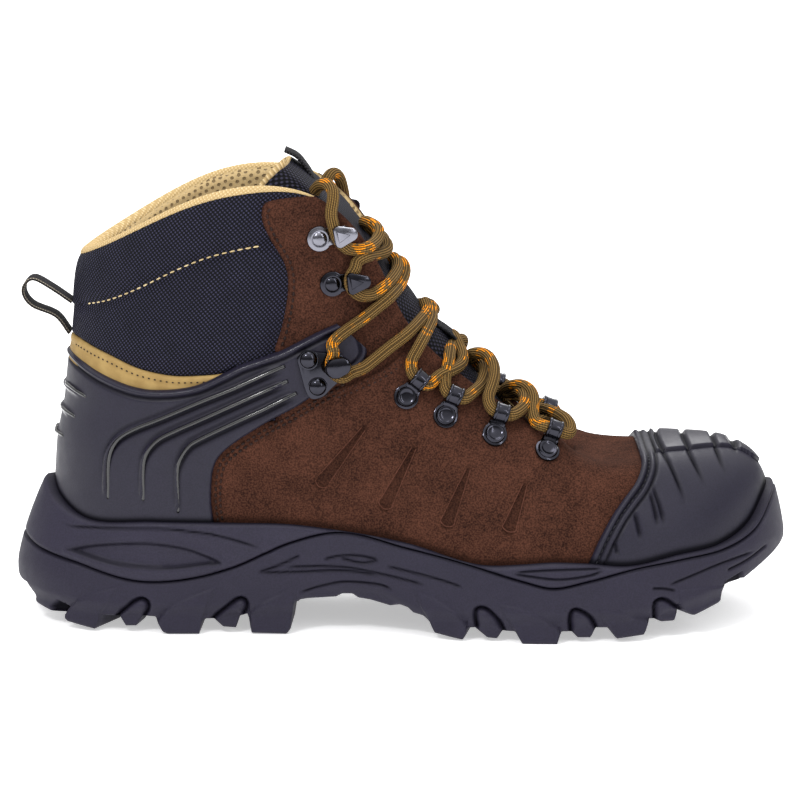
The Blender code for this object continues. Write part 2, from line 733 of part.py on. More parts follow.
def build_fitting(row, side, name):
    frame = fitting_frame(row, side)
    rivet, rivet_faces = prism(arc((0.0, 0.0), RIVET_R, 0.0, 315.0, 8), 0.4, PLATE_THICK + RIVET_HIGH, 0.6)
    shapes = []
    if row.kind == "lace_loop":
        plate = plate_outline(EYE_OUT - 1.5, 2.9)
        points, faces = prism(plate, 0.0, PLATE_THICK)
        shapes.append((placed(points, frame), faces))
        shapes.append(eye_tube(frame))
    else:
        if row.kind == "lock_hook":
            plate = LOCK_PLATE
        else:
            plate = plate_outline(HOOK_OUT + 1.5, 2.6)
        points, faces = prism(plate, 0.0, PLATE_THICK)
        shapes.append((placed(points, frame), faces))
        neck_outline = [(HOOK_OUT - 1.3, -2.4), (HOOK_OUT + 1.3, -2.4),
                        (HOOK_OUT + 1.3, 2.4), (HOOK_OUT - 1.3, 2.4)]
        neck, neck_faces = prism(neck_outline, 0.3, HOOK_HIGH + 0.4)
        shapes.append((placed(neck, frame), neck_faces))
        head = [(HOOK_OUT - 5.0, -2.0), (HOOK_OUT + 1.0, -4.4), (HOOK_OUT + 4.5, -1.6),
                (HOOK_OUT + 4.5, 1.6), (HOOK_OUT + 1.0, 4.4), (HOOK_OUT - 5.0, 2.0)]
        points, faces = prism(head, HOOK_HIGH, HOOK_HIGH + 1.3, 0.85)
        shapes.append((placed(points, frame), faces))
    if row.kind == "lock_hook":
        for spot in ((-0.8, -5.6), (-0.8, 5.6)):
            shapes.append((placed(rivet + (spot[0], spot[1], 0.0), frame), rivet_faces))
    else:
        shapes.append((placed(rivet, frame), rivet_faces))
    return joined(name, shapes, METAL)


# Lace

def mouths(row, side):
    """Where the lace comes to a fitting from below, and where it leaves it upwards."""
    frame = fitting_frame(row, side)
    if row.kind == "lace_loop":
        high = PLATE_THICK + EYE_R - 0.2
        spots = [(EYE_OUT, EYE_HALF + 0.6, high), (EYE_OUT, -EYE_HALF - 1.6, high)]
        turns = [(3.0, 5.5, 1.5), (4.5, -4.0, 2.5)]
    else:
        high = PLATE_THICK + LACE_R + 0.4
        spots = [(HOOK_OUT - 0.5, 5.4, high), (HOOK_OUT - 0.5, -4.5, high)]
        turns = [(6.0, 3.5, 3.5), (6.0, -2.5, 3.5)]
    points = placed(spots, frame)
    bends = points + np.array(turns) @ frame[1]
    return (points[0], bends[0]), (points[1], bends[1])


def bridge(place, t):
    """A point of the tongue between the eyestays: place up the throat and share of the way across."""
    crown = np.interp(place, [fold.place for fold in TONGUE], [fold.crown for fold in TONGUE])
    start, start_way = throat_side(place, TUCK[-1])
    end, end_way = throat_side(LOOP - place, TUCK[-1])
    pull = crown * np.linalg.norm(end - start)
    straight = (1.0 - 3.0 * t**2 + 2.0 * t**3) * start + (3.0 * t**2 - 2.0 * t**3) * end
    return straight + pull * ((t - 2.0 * t**2 + t**3) * start_way - (t**3 - t**2) * end_way)


def over_tongue(place, t, lift):
    step = 0.02
    up_way = bridge(place + step, t) - bridge(place - step, t)
    across = bridge(place, t + step) - bridge(place, t - step)
    normal = np.cross(up_way, across)
    normal /= np.linalg.norm(normal)
    normal *= np.sign(normal[2] + normal[0])
    return bridge(place, t) + normal * lift


def smooth_path(points, count):
    """Evenly stepped points on a smooth curve through the given ones."""
    points = np.asarray(points, float)
    ends = np.concatenate([[2.0 * points[0] - points[1]], points, [2.0 * points[-1] - points[-2]]])
    fine = []
    for a, b, c, d in zip(ends, ends[1:], ends[2:], ends[3:]):
        for t in np.linspace(0.0, 1.0, 12, endpoint=False):
            fine.append(0.5 * (2.0 * b + (c - a) * t + (2.0 * a - 5.0 * b + 4.0 * c - d) * t**2
                               + (3.0 * b - a - 3.0 * c + d) * t**3))
    fine.append(points[-1])
    fine = np.array(fine)
    run = np.append(0.0, np.cumsum(np.linalg.norm(np.diff(fine, axis=0), axis=1)))
    steps = np.linspace(0.0, run[-1], count)
    return np.stack([np.interp(steps, run, fine[:, i]) for i in range(3)], 1)


def tube(path, radius, sides):
    """Points and faces of a round cord along a path, closed at both ends."""
    way = np.gradient(path, axis=0)
    way /= np.linalg.norm(way, axis=1)[:, None]
    across = np.cross(way[0], (0.3, 0.5, 0.8))
    rings = []
    for point, ahead in zip(path, way):
        across = across - ahead * (across @ ahead)
        across /= np.linalg.norm(across)
        other = np.cross(ahead, across)
        turn = np.arange(sides) * 2.0 * np.pi / sides
        rings.append(point + radius * (np.cos(turn)[:, None] * across + np.sin(turn)[:, None] * other))
    faces = ring_faces(sides, len(path))
    faces.append(tuple(range(sides)))
    faces.append(tuple(range((len(path) - 1) * sides, len(path) * sides)))
    return np.concatenate(rings), faces


# How high the lower and the upper strand of a crossing ride over the tongue, at its sides and middle
SIDE_LIFT = 7.6
LOW_LIFT = 3.0
HIGH_LIFT = 6.6
# Where the bar and then each crossing goes over the tongue's ridge, in stations up the throat
BAR_RIDGE = 1.8
RIDGES = [2.65, 3.42, 4.18, 4.8, 5.38, 5.95]
RIDGE_SPREAD = 0.1


def strand(lower, upper, ridge, start_side, middle_lift):
    """A strand from the upper mouth of one fitting to the lower mouth of the next on the other side."""
    out_point, out_bend = mouths(lower, start_side)[1]
    in_point, in_bend = mouths(upper, -start_side)[0]
    near, far = (0.16, 0.84) if start_side < 0 else (0.84, 0.16)
    return [out_point, out_bend,
            over_tongue(ridge - RIDGE_SPREAD, near, SIDE_LIFT),
            over_tongue(ridge, 0.5, middle_lift),
            over_tongue(ridge + RIDGE_SPREAD, far, SIDE_LIFT),
            in_bend, in_point]


def build_lace():
    near_point, near_bend = mouths(FITTINGS[0], -1)[0]
    far_point, far_bend = mouths(FITTINGS[0], 1)[0]
    bar = [near_point, near_bend, over_tongue(BAR_RIDGE, 0.2, SIDE_LIFT),
           over_tongue(BAR_RIDGE, 0.5, LOW_LIFT + 0.5),
           over_tongue(BAR_RIDGE, 0.8, SIDE_LIFT), far_bend, far_point]
    mesh_object("lace_bar", *tube(smooth_path(bar, 12), LACE_R, 5), CORD)
    for number, ridge in enumerate(RIDGES, 1):
        lower, upper = FITTINGS[number - 1 : number + 1]
        high = strand(lower, upper, ridge, -1, HIGH_LIFT)
        low = strand(lower, upper, ridge, 1, LOW_LIFT)
        shapes = [tube(smooth_path(path, 11), LACE_R, 5) for path in (low, high)]
        joined(f"lace_crossing_{number}", shapes, CORD)


# Ends of the lace, from the top hooks over the collar and down inside it
LACE_ENDS = {
    "lace_end_outer": [(-25.0, -35.4, 177.8), (-31.0, -30.0, 183.0), (-40.0, -27.5, 184.0),
                       (-49.0, -26.6, 180.0), (-54.0, -26.2, 172.0)],
    "lace_end_inner": [(-22.5, 33.4, 177.3), (-27.0, 30.0, 185.0), (-38.0, 27.0, 185.5),
                       (-48.0, 26.4, 181.0), (-54.0, 26.0, 172.0)],
}


def build_lace_ends():
    for (name, points), side in zip(LACE_ENDS.items(), (-1, 1)):
        start, bend = mouths(FITTINGS[-1], side)[1]
        path = smooth_path([start, *[np.array(point) for point in points]], 12)
        mesh_object(name, *tube(path, LACE_R, 6), CORD)


# Webbing loops, as a tape that follows a line seen from the side

PULL_LINE = [(-129.6, 126.0), (-137.5, 131.5), (-144.5, 135.3), (-148.2, 133.0), (-148.6, 128.9),
             (-145.1, 124.5), (-136.1, 120.5), (-130.8, 113.5)]
TAB_LINE = [(-29.6, 178.2), (-33.4, 183.2), (-38.3, 186.6), (-45.0, 188.4)]
TAPE = 1.3


def build_tape(name, line, half_width, middle):
    line = np.array(line)
    way = np.gradient(line, axis=0)
    way /= np.linalg.norm(way, axis=1)[:, None]
    out = np.stack([-way[:, 1], way[:, 0]], 1) * 0.5 * TAPE
    outer = []
    inner = []
    for y in (middle - half_width, middle + half_width):
        outer.append([(x, y, z) for x, z in line + out])
        inner.append([(x, y, z) for x, z in line - out])
    return slab(name, np.array(outer), np.array(inner), WEBBING)


build_outsole()
build_midsole()
build_upper()
build_insole()
build_tongue()
build_guard("toe_cap", CAP_EDGE + TOE_END, 0.93)
build_guard("heel_counter", COUNTER_TOP + COUNTER_FRONT + HEEL_END, 0.78)
for number, fitting in enumerate(FITTINGS, 1):
    build_fitting(fitting, -1, f"{fitting.kind}_outer_{number}")
    build_fitting(fitting, 1, f"{fitting.kind}_inner_{number}")
build_lace()
build_lace_ends()
build_tape("pull_loop", PULL_LINE, 7.0, 0.0)
build_tape("tongue_tab", TAB_LINE, 6.0, 0.5)
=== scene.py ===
import json
import math
from collections import namedtuple

import bmesh
import bpy
import numpy as np
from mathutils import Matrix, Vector
from mathutils.bvhtree import BVHTree

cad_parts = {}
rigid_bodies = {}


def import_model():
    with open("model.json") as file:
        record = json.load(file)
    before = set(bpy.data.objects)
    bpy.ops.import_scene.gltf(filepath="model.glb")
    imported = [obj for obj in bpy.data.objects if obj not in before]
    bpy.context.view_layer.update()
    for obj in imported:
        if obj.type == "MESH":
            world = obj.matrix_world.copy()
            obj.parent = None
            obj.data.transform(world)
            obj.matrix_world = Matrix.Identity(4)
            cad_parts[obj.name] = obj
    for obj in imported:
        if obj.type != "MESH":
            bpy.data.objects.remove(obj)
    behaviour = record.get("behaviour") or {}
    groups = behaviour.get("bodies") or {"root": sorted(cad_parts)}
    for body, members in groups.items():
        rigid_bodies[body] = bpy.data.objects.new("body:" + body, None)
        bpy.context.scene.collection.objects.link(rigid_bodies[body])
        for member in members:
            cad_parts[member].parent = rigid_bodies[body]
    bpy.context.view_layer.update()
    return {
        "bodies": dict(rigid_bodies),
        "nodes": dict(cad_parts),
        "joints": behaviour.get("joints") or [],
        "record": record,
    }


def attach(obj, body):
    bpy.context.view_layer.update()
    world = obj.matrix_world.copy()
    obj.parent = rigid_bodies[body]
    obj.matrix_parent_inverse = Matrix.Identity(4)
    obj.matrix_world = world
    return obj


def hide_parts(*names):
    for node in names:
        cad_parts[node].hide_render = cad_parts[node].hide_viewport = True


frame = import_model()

MM = 0.001

# Sizes of the last and the sole, in millimetres
LAST_LENGTH = 282.0
HEEL_BACK_X = -136.0
BALL_WIDTH = 96.0
COLLAR_HEIGHT = 174.0
BALL_SEAT = 18.0
HEEL_LIFT = 12.0
TOE_RISE = 12.0
GAP = 0.4

# Wall of the upper, thicker where the collar is padded
WALL = 2.6
COLLAR_PAD = 5.0
PAD_PLACES = (6.9, 7.8)
PAD_SHARES = (0.45, 0.75)

# Sole
LUG_DEPTH = 7.0
PLATE = 4.0
OUTSOLE_WALL = 2.4
RIM_WIDTH = 4.8
ARCH_HOLLOW = 8.5
# Height above the underside where the sole is widest, and how far it is drawn in below that
WIDEST = 6.0
FOOT_TUCK = 2.2

# Along X: where the seat rises to the heel and to the toe, where the underside's curves start, and the
# two ends of the hollow under the arch. The curves are per millimetre, of lug bottoms and of the underside.
HEEL_RAMP = (50.0, -60.0)
SEAT_TOE_X = 80.0
SEAT_TOE_RUN = 66.0
TOE_CURVE_X = 72.0
HEEL_CURVE_X = -115.0
TREAD_TOE = 0.0043
TREAD_HEEL = 0.006
BASE_TOE = 0.00237
BASE_HEEL = 0.0025
ARCH_BACK = (-45.0, -32.0)
ARCH_FRONT = (12.0, -14.0)

# Dip in the vamp's ridge: its depth, where it starts along X on either side, where it ends, the shares of
# the wall over which it grows, and the width over which the two sides blend
DIP = 6.2
DIP_START_OUTER = (58.0, 74.0)
DIP_START_INNER = (25.0, 66.0)
DIP_END = (126.0, 78.0)
DIP_SHARES = (0.5, 0.9)
DIP_BLEND = (-6.0, 10.0)

# One row for each place round the shoe, from the toe tip to the heel back.
# along and top_along are shares of LAST_LENGTH, lateral, medial and top_half of BALL_WIDTH, and
# top_height of COLLAR_HEIGHT, all in per cent. rise, lean and belly bend the wall near the sole;
# drop, reach and bulge bend it near the top line. belly and bulge are in millimetres.
Station = namedtuple(
    "Station",
    "name along lateral medial top_along top_half top_height rise lean belly drop reach bulge",
)
STATIONS = [
    Station("toe tip", 100.0, 6.3, 6.3, 73.0, 0.0, 40.8, 0.86, 0.00, 3.0, 0.05, 0.80, 0.0),
    Station("toe corner", 95.4, -22.9, 34.4, 71.6, 11.5, 41.4, 0.78, 0.00, 3.0, 0.08, 0.70, 0.0),
    Station("toe flank", 86.5, -42.2, 46.4, 68.1, 17.7, 44.8, 0.60, 0.00, 3.0, 0.15, 0.56, 0.0),
    Station("ball front", 74.1, -50.5, 49.5, 62.4, 21.9, 51.1, 0.48, 0.00, 3.0, 0.20, 0.50, 0.0),
    Station("ball rear", 61.7, -50.0, 43.2, 55.0, 25.0, 60.3, 0.44, 0.05, 3.0, 0.27, 0.46, 0.0),
    Station("waist front", 49.6, -43.8, 35.9, 48.9, 27.1, 71.3, 0.40, 0.10, 4.0, 0.30, 0.45, 1.0),
    Station("waist", 37.6, -39.6, 32.8, 44.7, 30.2, 85.6, 0.36, 0.20, 4.0, 0.33, 0.38, 2.0),
    Station("heel front", 24.8, -38.0, 34.4, 36.2, 36.5, 99.4, 0.33, 0.30, 4.0, 0.33, 0.33, 3.0),
    Station("heel mid", 13.5, -35.4, 33.9, 22.7, 40.6, 100.0, 0.33, 0.30, 3.0, 0.33, 0.33, 3.0),
    Station("heel corner", 4.3, -24.0, 23.4, 9.9, 29.2, 90.8, 0.33, 0.25, 3.0, 0.33, 0.25, 2.0),
    Station("heel back", 0.0, 0.0, 0.0, 3.2, 0.0, 85.1, 0.33, 0.20, 2.0, 0.33, 0.10, 1.0),
]
SIDE = len(STATIONS) - 1
LOOP = 2 * SIDE
HEEL_PLACE = 0.5 * LOOP

# One row for each place along a side of the sole, counted in stations from the toe tip: how far the
# sole stands out from the last, the height of its rim, and the height of the outsole's wave edge.
Edge = namedtuple("Edge", "place flare rim wave")
SOLE_EDGE = [
    Edge(0.0, 7.0, 52.5, 50.5),
    Edge(0.4, 7.1, 49.5, 47.5),
    Edge(0.9, 7.4, 40.0, 38.0),
    Edge(1.4, 7.5, 35.0, 33.0),
    Edge(2.0, 7.5, 33.0, 31.0),
    Edge(2.6, 7.0, 30.0, 28.0),
    Edge(3.0, 6.5, 31.5, 24.5),
    Edge(3.4, 6.5, 32.0, 22.0),
    Edge(3.7, 6.3, 31.2, 24.5),
    Edge(4.1, 6.0, 30.5, 28.5),
    Edge(5.0, 4.5, 38.0, 36.0),
    Edge(6.0, 4.0, 43.0, 41.0),
    Edge(6.4, 4.3, 44.5, 37.0),
    Edge(7.0, 5.0, 45.0, 27.0),
    Edge(8.0, 7.0, 45.0, 21.0),
    Edge(9.0, 12.0, 44.5, 27.5),
    Edge(9.5, 15.0, 50.0, 30.5),
    Edge(10.0, 16.5, 56.0, 33.0),
]

# Lugs along both edges of the sole: where each starts and ends along X, how far it reaches in,
# and how far it leans forwards on its way in.
Lug = namedtuple("Lug", "back front reach lean")
LUGS = [
    Lug(-130.0, -118.0, 20.0, 4.0),
    Lug(-109.5, -98.5, 13.0, 2.0),
    Lug(-92.5, -78.0, 22.0, 4.0),
    Lug(-73.5, -62.0, 13.0, 2.0),
    Lug(-58.0, -43.6, 24.0, 4.0),
    Lug(13.0, 24.4, 22.0, -5.0),
    Lug(29.5, 39.4, 13.0, -3.0),
    Lug(47.0, 61.0, 24.0, -6.0),
    Lug(66.0, 74.0, 13.0, -3.0),
    Lug(82.0, 95.0, 22.0, -6.0),
    Lug(99.5, 107.5, 12.0, -3.0),
    Lug(111.0, 123.0, 16.0, -5.0),
]
# Lugs down the middle: centre along X, length and width
MIDDLE_LUGS = [(-100.0, 16.0, 20.0), (-66.0, 16.0, 20.0), (34.0, 14.0, 24.0), (58.0, 12.0, 26.0),
               (80.0, 12.0, 26.0), (101.0, 10.0, 24.0)]


def smooth(start, end, value):
    """0 before start, 1 after end, and a soft step between."""
    share = np.clip((np.asarray(value, float) - start) / (end - start), 0.0, 1.0)
    return share * share * (3.0 - 2.0 * share)


def hump(value, width):
    """1 where a value is 0, fading on both sides over about a width."""
    return np.exp(-((value / width) ** 2))


def swell(value, width):
    """0 up to a value of 0, then rising towards 1 over about a width."""
    return 1.0 - np.exp(-np.clip(value, 0.0, None) / width)


def unit(vectors):
    """Vectors made one long."""
    return vectors / np.linalg.norm(vectors, axis=-1)[..., None]


def run_of(line):
    """Length along a line up to each of its points."""
    return np.append(0.0, np.cumsum(np.linalg.norm(np.diff(line, axis=0), axis=1)))


def sideways(line):
    """Unit directions square to a flat line, at each of its points."""
    way = unit(np.gradient(line, axis=0))
    return np.stack([-way[:, 1], way[:, 0]], 1)


def footbed(x):
    """Height of the seat that the upper and the insole stand on."""
    toe = np.clip((np.asarray(x, float) - SEAT_TOE_X) / SEAT_TOE_RUN, 0.0, None)
    return BALL_SEAT + HEEL_LIFT * smooth(*HEEL_RAMP, x) + TOE_RISE * toe * toe


def tread(x):
    """Height of the lug bottoms: flat under heel and ball, rising at the toe and a little at the heel."""
    x = np.asarray(x, float)
    toe = TREAD_TOE * np.clip(x - TOE_CURVE_X, 0.0, None) ** 2
    return toe + TREAD_HEEL * np.clip(HEEL_CURVE_X - x, 0.0, None) ** 2


def base(x):
    """Height of the sole's underside between the lugs, with the hollow under the arch."""
    x = np.asarray(x, float)
    toe = BASE_TOE * np.clip(x - TOE_CURVE_X, 0.0, None) ** 2
    heel = BASE_HEEL * np.clip(HEEL_CURVE_X - x, 0.0, None) ** 2
    arch = smooth(*ARCH_BACK, x) * smooth(*ARCH_FRONT, x)
    return LUG_DEPTH + toe + heel + ARCH_HOLLOW * arch


def closed_spline(rows):
    """Second differences of the smooth closed curve through evenly spaced rows."""
    count = len(rows)
    ring = 4.0 * np.eye(count) + np.roll(np.eye(count), 1, 0) + np.roll(np.eye(count), -1, 0)
    return np.linalg.solve(ring, 6.0 * (np.roll(rows, 1, 0) - 2.0 * rows + np.roll(rows, -1, 0)))


def along_ring(rows, bend, place):
    place = np.asarray(place, float) % len(rows)
    first = np.floor(place).astype(int)
    share = (place - first)[..., None]
    rest = 1.0 - share
    then = (first + 1) % len(rows)
    straight = rest * rows[first] + share * rows[then]
    return straight + (rest**3 - rest) * bend[first] / 6.0 + (share**3 - share) * bend[then] / 6.0


def control_rings():
    """Foot, flank, shoulder and top rings of the upper's outer form, each with its spline."""
    loop = [(row, -1.0) for row in STATIONS] + [(row, 1.0) for row in STATIONS[-2:0:-1]]
    foot = []
    top = []
    for row, side in loop:
        x = HEEL_BACK_X + row.along / 100.0 * LAST_LENGTH
        y = (row.lateral if side < 0.0 else row.medial) / 100.0 * BALL_WIDTH
        foot.append((x, y, float(footbed(x)) + GAP))
        top_x = HEEL_BACK_X + row.top_along / 100.0 * LAST_LENGTH
        top_y = side * row.top_half / 100.0 * BALL_WIDTH
        top.append((top_x, top_y, row.top_height / 100.0 * COLLAR_HEIGHT))
    foot = np.array(foot)
    top = np.array(top)
    tangent = np.roll(foot, -1, 0) - np.roll(foot, 1, 0)
    out = np.stack([-tangent[:, 1], tangent[:, 0], 0.0 * tangent[:, 0]], 1)
    out = -unit(out)
    out = out * np.sign(out[0, 0])

    def column(name):
        return np.array([getattr(row, name) for row, _ in loop])[:, None]

    upward = (top - foot) * (0.0, 0.0, 1.0)
    across = (top - foot) * (1.0, 1.0, 0.0)
    flank = foot + column("rise") * upward + column("lean") * across + column("belly") * out
    shoulder = top - column("drop") * upward - column("reach") * across + column("bulge") * out
    return [(ring, closed_spline(ring)) for ring in (foot, flank, shoulder, top)]


RINGS = control_rings()


def vamp_dip(point, share):
    """How far the vamp's ridge dips between throat and toe cap. On the inner side it starts further back."""
    along = point[..., 0]
    inner = smooth(*DIP_BLEND, point[..., 1])
    start = (1.0 - inner) * smooth(*DIP_START_OUTER, along) + inner * smooth(*DIP_START_INNER, along)
    return DIP * start * smooth(*DIP_END, along) * smooth(*DIP_SHARES, share)


def form(place, share):
    """A point of the upper's outer form: place round the shoe, share of the way from sole to top line."""
    place, share = np.broadcast_arrays(np.asarray(place, float), np.asarray(share, float))
    foot, flank, shoulder, top = [along_ring(ring, bend, place) for ring, bend in RINGS]
    t = share[..., None]
    s = 1.0 - t
    point = s**3 * foot + 3.0 * t * s**2 * flank + 3.0 * t**2 * s * shoulder + t**3 * top
    return point - vamp_dip(point, share)[..., None] * np.array([0.0, 0.0, 1.0])


def slopes(place, share, step=1e-3):
    place, share = np.broadcast_arrays(np.asarray(place, float), np.asarray(share, float))
    round_way = (form(place + step, share) - form(place - step, share)) / (2.0 * step)
    up_way = (form(place, share + step) - form(place, share - step)) / (2.0 * step)
    return round_way, up_way


def outward(place, share):
    """Unit normal of the form, pointing away from the foot."""
    round_way, up_way = slopes(place, share)
    normal = np.cross(up_way, round_way)
    return unit(normal)


def wall(place, share):
    """Thickness of the upper, with the padded collar at the sides and back."""
    place = np.asarray(place, float) % LOOP
    from_toe = np.minimum(place, LOOP - place)
    return WALL + COLLAR_PAD * smooth(*PAD_PLACES, from_toe) * smooth(*PAD_SHARES, share)


def on_form(place, share, offset):
    return form(place, share) + np.asarray(offset)[..., None] * outward(place, share)


def share_at(place, height):
    """The share of the wall at which it reaches a height, found by halving."""
    low = np.zeros_like(place)
    high = np.full_like(place, 0.6)
    for _ in range(30):
        middle = 0.5 * (low + high)
        below = form(place, middle)[..., 2] < height
        low = np.where(below, middle, low)
        high = np.where(below, high, middle)
    return 0.5 * (low + high)


def sole_column(name, place):
    """A column of SOLE_EDGE as a smooth curve round the shoe, the same on both sides."""
    place = np.asarray(place, float) % LOOP
    place = np.minimum(place, LOOP - place)
    known = np.array([row.place for row in SOLE_EDGE])
    value = np.array([getattr(row, name) for row in SOLE_EDGE])
    slope = np.gradient(value, known)
    slope[0] = 0.0
    slope[-1] = 0.0
    first = np.clip(np.searchsorted(known, place, "right") - 1, 0, len(known) - 2)
    width = known[first + 1] - known[first]
    t = (place - known[first]) / width
    rise = value[first + 1] - value[first]
    bent = (t - 2.0 * t**2 + t**3) * slope[first] * width + (t**3 - t**2) * slope[first + 1] * width
    return value[first] + (3.0 * t**2 - 2.0 * t**3) * rise + bent


def plan_out(place):
    """Level unit direction away from the last's outline."""
    round_way = slopes(place, 0.0)[0]
    return -unit(np.stack([round_way[..., 1], -round_way[..., 0], 0.0 * round_way[..., 0]], -1))


def side_wall(place, height, inset=0.0):
    """Outside of the sole at a height, widest low down and drawn in towards the rim."""
    rim = sole_column("rim", place)
    out = plan_out(place)
    edge = form(place, share_at(place, rim)) + out * RIM_WIDTH
    wide = form(place, 0.0) + out * sole_column("flare", place)[..., None]
    low = base(wide[..., 0]) + WIDEST
    share = np.clip((height - low) / (rim - low), 0.0, 1.0)[..., None]
    tuck = FOOT_TUCK * smooth(WIDEST, 0.0, height - base(wide[..., 0]))[..., None]
    inset = np.broadcast_to(inset, np.shape(place))[..., None]
    point = wide + (edge - wide) * share**1.5 - out * (tuck + inset)
    point[..., 2] = height
    return point


def middle_of_sole():
    """Middle of the sole's outline in plan, which becomes the origin."""
    places = np.linspace(0.0, LOOP, 800)
    edge = side_wall(places, base(form(places, 0.0)[:, 0]) + WIDEST)
    return np.append(0.5 * (edge.max(0) + edge.min(0))[:2], 0.0)


MIDDLE = middle_of_sole()


# One row for each fold line across the tongue, counted in stations up the throat: how much it is
# crowned between the eyestays, how thick it is in the middle, and how much of it is tucked under them.
Fold = namedtuple("Fold", "place crown thick tucked")
TONGUE = [
    Fold(1.2, 0.50, 3.0, 0.8),
    Fold(2.0, 0.80, 4.0, 1.0),
    Fold(2.8, 1.00, 5.0, 1.0),
    Fold(3.6, 1.00, 6.0, 1.0),
    Fold(4.4, 0.94, 6.5, 1.0),
    Fold(5.1, 0.70, 7.0, 1.0),
    Fold(5.7, 0.26, 7.0, 0.9),
    Fold(6.2, 0.05, 7.0, 0.7),
    Fold(6.6, 0.02, 7.0, 0.5),
]
# The tongue's top, above the throat: how far the last fold line is moved back and up, its share of
# width and its thickness
TopFold = namedtuple("TopFold", "back up width thick")
TONGUE_TOP = [TopFold(8.0, 8.0, 0.88, 7.0), TopFold(14.5, 14.0, 0.78, 6.5), TopFold(19.5, 17.5, 0.62, 5.0)]
# The tongue's front end, under the vamp: half its spread in stations, its share up the wall, how far it
# lies below the wall and how thick it is
NOSE_SPREAD = 1.0
NOSE_SHARE = 0.92
NOSE_DEEPER = 5.2
NOSE_THICK = 2.5
# How far each point of a fold line is tucked under the eyestay, shares of the bridge between them, and the
# room left under the wall
TUCK = (13.0, 7.0, 1.0)
BRIDGE = (0.12, 0.3, 0.5, 0.7, 0.88)
TONGUE_CLEAR = 0.5


def throat_side(place, tuck):
    """A point of the tongue tucked under the eyestay, and the direction across the throat there."""
    round_way, up_way = slopes(place, 1.0)
    normal = outward(place, 1.0)
    edge = round_way / np.linalg.norm(round_way)
    into = np.cross(normal, edge)
    if into @ up_way < 0.0:
        into = -into
    grid = np.stack([round_way, up_way], 1)
    move = np.linalg.lstsq(grid, -tuck * into, rcond=None)[0]
    spot = (place + move[0], 1.0 + move[1])
    depth = float(wall(spot[0], min(spot[1], 1.0))) + GAP + TONGUE_CLEAR
    return form(*spot) - depth * outward(*spot), into


# Hardware: each row is a rivet and the point that its loop or hook is turned towards, as places
# round the shoe and shares of the wall's height. lift is how far the plate sits off the upper.
LOCK_LIFT = 3.3
Fitting = namedtuple("Fitting", "kind rivet rivet_share aim aim_share lift")
FITTINGS = [
    Fitting("lace_loop", 2.93, 0.682, 2.11, 0.945, 0.5),
    Fitting("lace_loop", 3.65, 0.690, 3.18, 0.932, 0.5),
    Fitting("lace_loop", 4.36, 0.685, 4.00, 0.880, 0.5),
    Fitting("lace_loop", 5.01, 0.670, 4.60, 0.843, 0.5),
    Fitting("lock_hook", 6.50, 0.560, 6.22, 0.617, LOCK_LIFT),
    Fitting("open_hook", 6.53, 0.812, 6.18, 0.883, 0.5),
    Fitting("open_hook", 6.81, 0.902, 6.45, 0.978, 0.5),
]
# Their plates, the loops' eyes and the hooks: thickness and radius, how far out, and radius or height
PLATE_THICK = 1.0
PLATE_R = 4.9
EYE_OUT = 8.0
EYE_R = 2.9
HOOK_OUT = 9.0
HOOK_HIGH = 6.2
# Outline of the lock hook's plate, which holds two rivets
LOCK_PLATE = [(-5.0, -7.5), (-1.0, -9.5), (4.0, -7.0), (12.0, -3.0),
              (12.0, 3.5), (4.0, 8.0), (-1.0, 10.0), (-5.5, 7.5)]


def fitting_frame(row, side):
    """Origin and axes of a fitting: towards its eye or hook, towards the toe or down, and off the upper."""
    place = row.rivet if side < 0 else LOOP - row.rivet
    aim_place = row.aim if side < 0 else LOOP - row.aim
    normal = outward(place, row.rivet_share)
    origin = form(place, row.rivet_share) + normal * row.lift
    towards = form(aim_place, row.aim_share) - origin
    towards = towards - normal * (towards @ normal)
    towards /= np.linalg.norm(towards)
    across = np.cross(normal, towards)
    if across[0] - across[2] < 0.0:
        across = -across
    return origin, np.stack([towards, across, normal])


def placed(points, frame):
    origin, axes = frame
    return np.asarray(points, float) @ axes + origin


# Camera, as the photograph was taken: its place in millimetres, tilt in degrees, focal length in pixels

EYE = np.array([0.0, -1330.0, 356.0])
TILT = math.radians(11.49)
FOCAL = 3404.0
FRAME = 800.0
LOOK = np.array([0.0, math.cos(TILT), -math.sin(TILT)])
LIFT = np.array([0.0, math.sin(TILT), math.cos(TILT)])


def project(points):
    """Pixels of points in millimetres."""
    ray = points - EYE
    depth = ray @ LOOK
    return np.stack([FRAME / 2 + FOCAL * ray[..., 0] / depth, FRAME / 2 - FOCAL * (ray @ LIFT) / depth], -1)


def ray_of(pixel):
    """Direction from the camera through a pixel, of unit length along Y."""
    across, down = (np.asarray(pixel, float) - FRAME / 2) / FOCAL
    way = LOOK + across * np.array([1.0, 0.0, 0.0]) - down * LIFT
    return way / way[1]


def on_plane(pixel, y):
    """The point that shows at a pixel and lies at depth y."""
    return EYE + ray_of(pixel) * (y - EYE[1])


def curve(points, count=8):
    """A smooth line through points of any dimension."""
    points = np.asarray(points, float)
    ends = np.concatenate([[2.0 * points[0] - points[1]], points, [2.0 * points[-1] - points[-2]]])
    fine = []
    for a, b, c, d in zip(ends, ends[1:], ends[2:], ends[3:]):
        for t in np.linspace(0.0, 1.0, count, endpoint=False):
            fine.append(0.5 * (2.0 * b + (c - a) * t + (2.0 * a - 5.0 * b + 4.0 * c - d) * t**2
                               + (3.0 * b - a - 3.0 * c + d) * t**3))
    fine.append(points[-1])
    return np.array(fine)


def even(points, step):
    """The line resampled at even steps."""
    points = np.asarray(points, float)
    run = run_of(points)
    steps = np.linspace(0.0, run[-1], max(2, int(round(run[-1] / step)) + 1))
    return np.stack([np.interp(steps, run, points[:, i]) for i in range(points.shape[1])], 1)


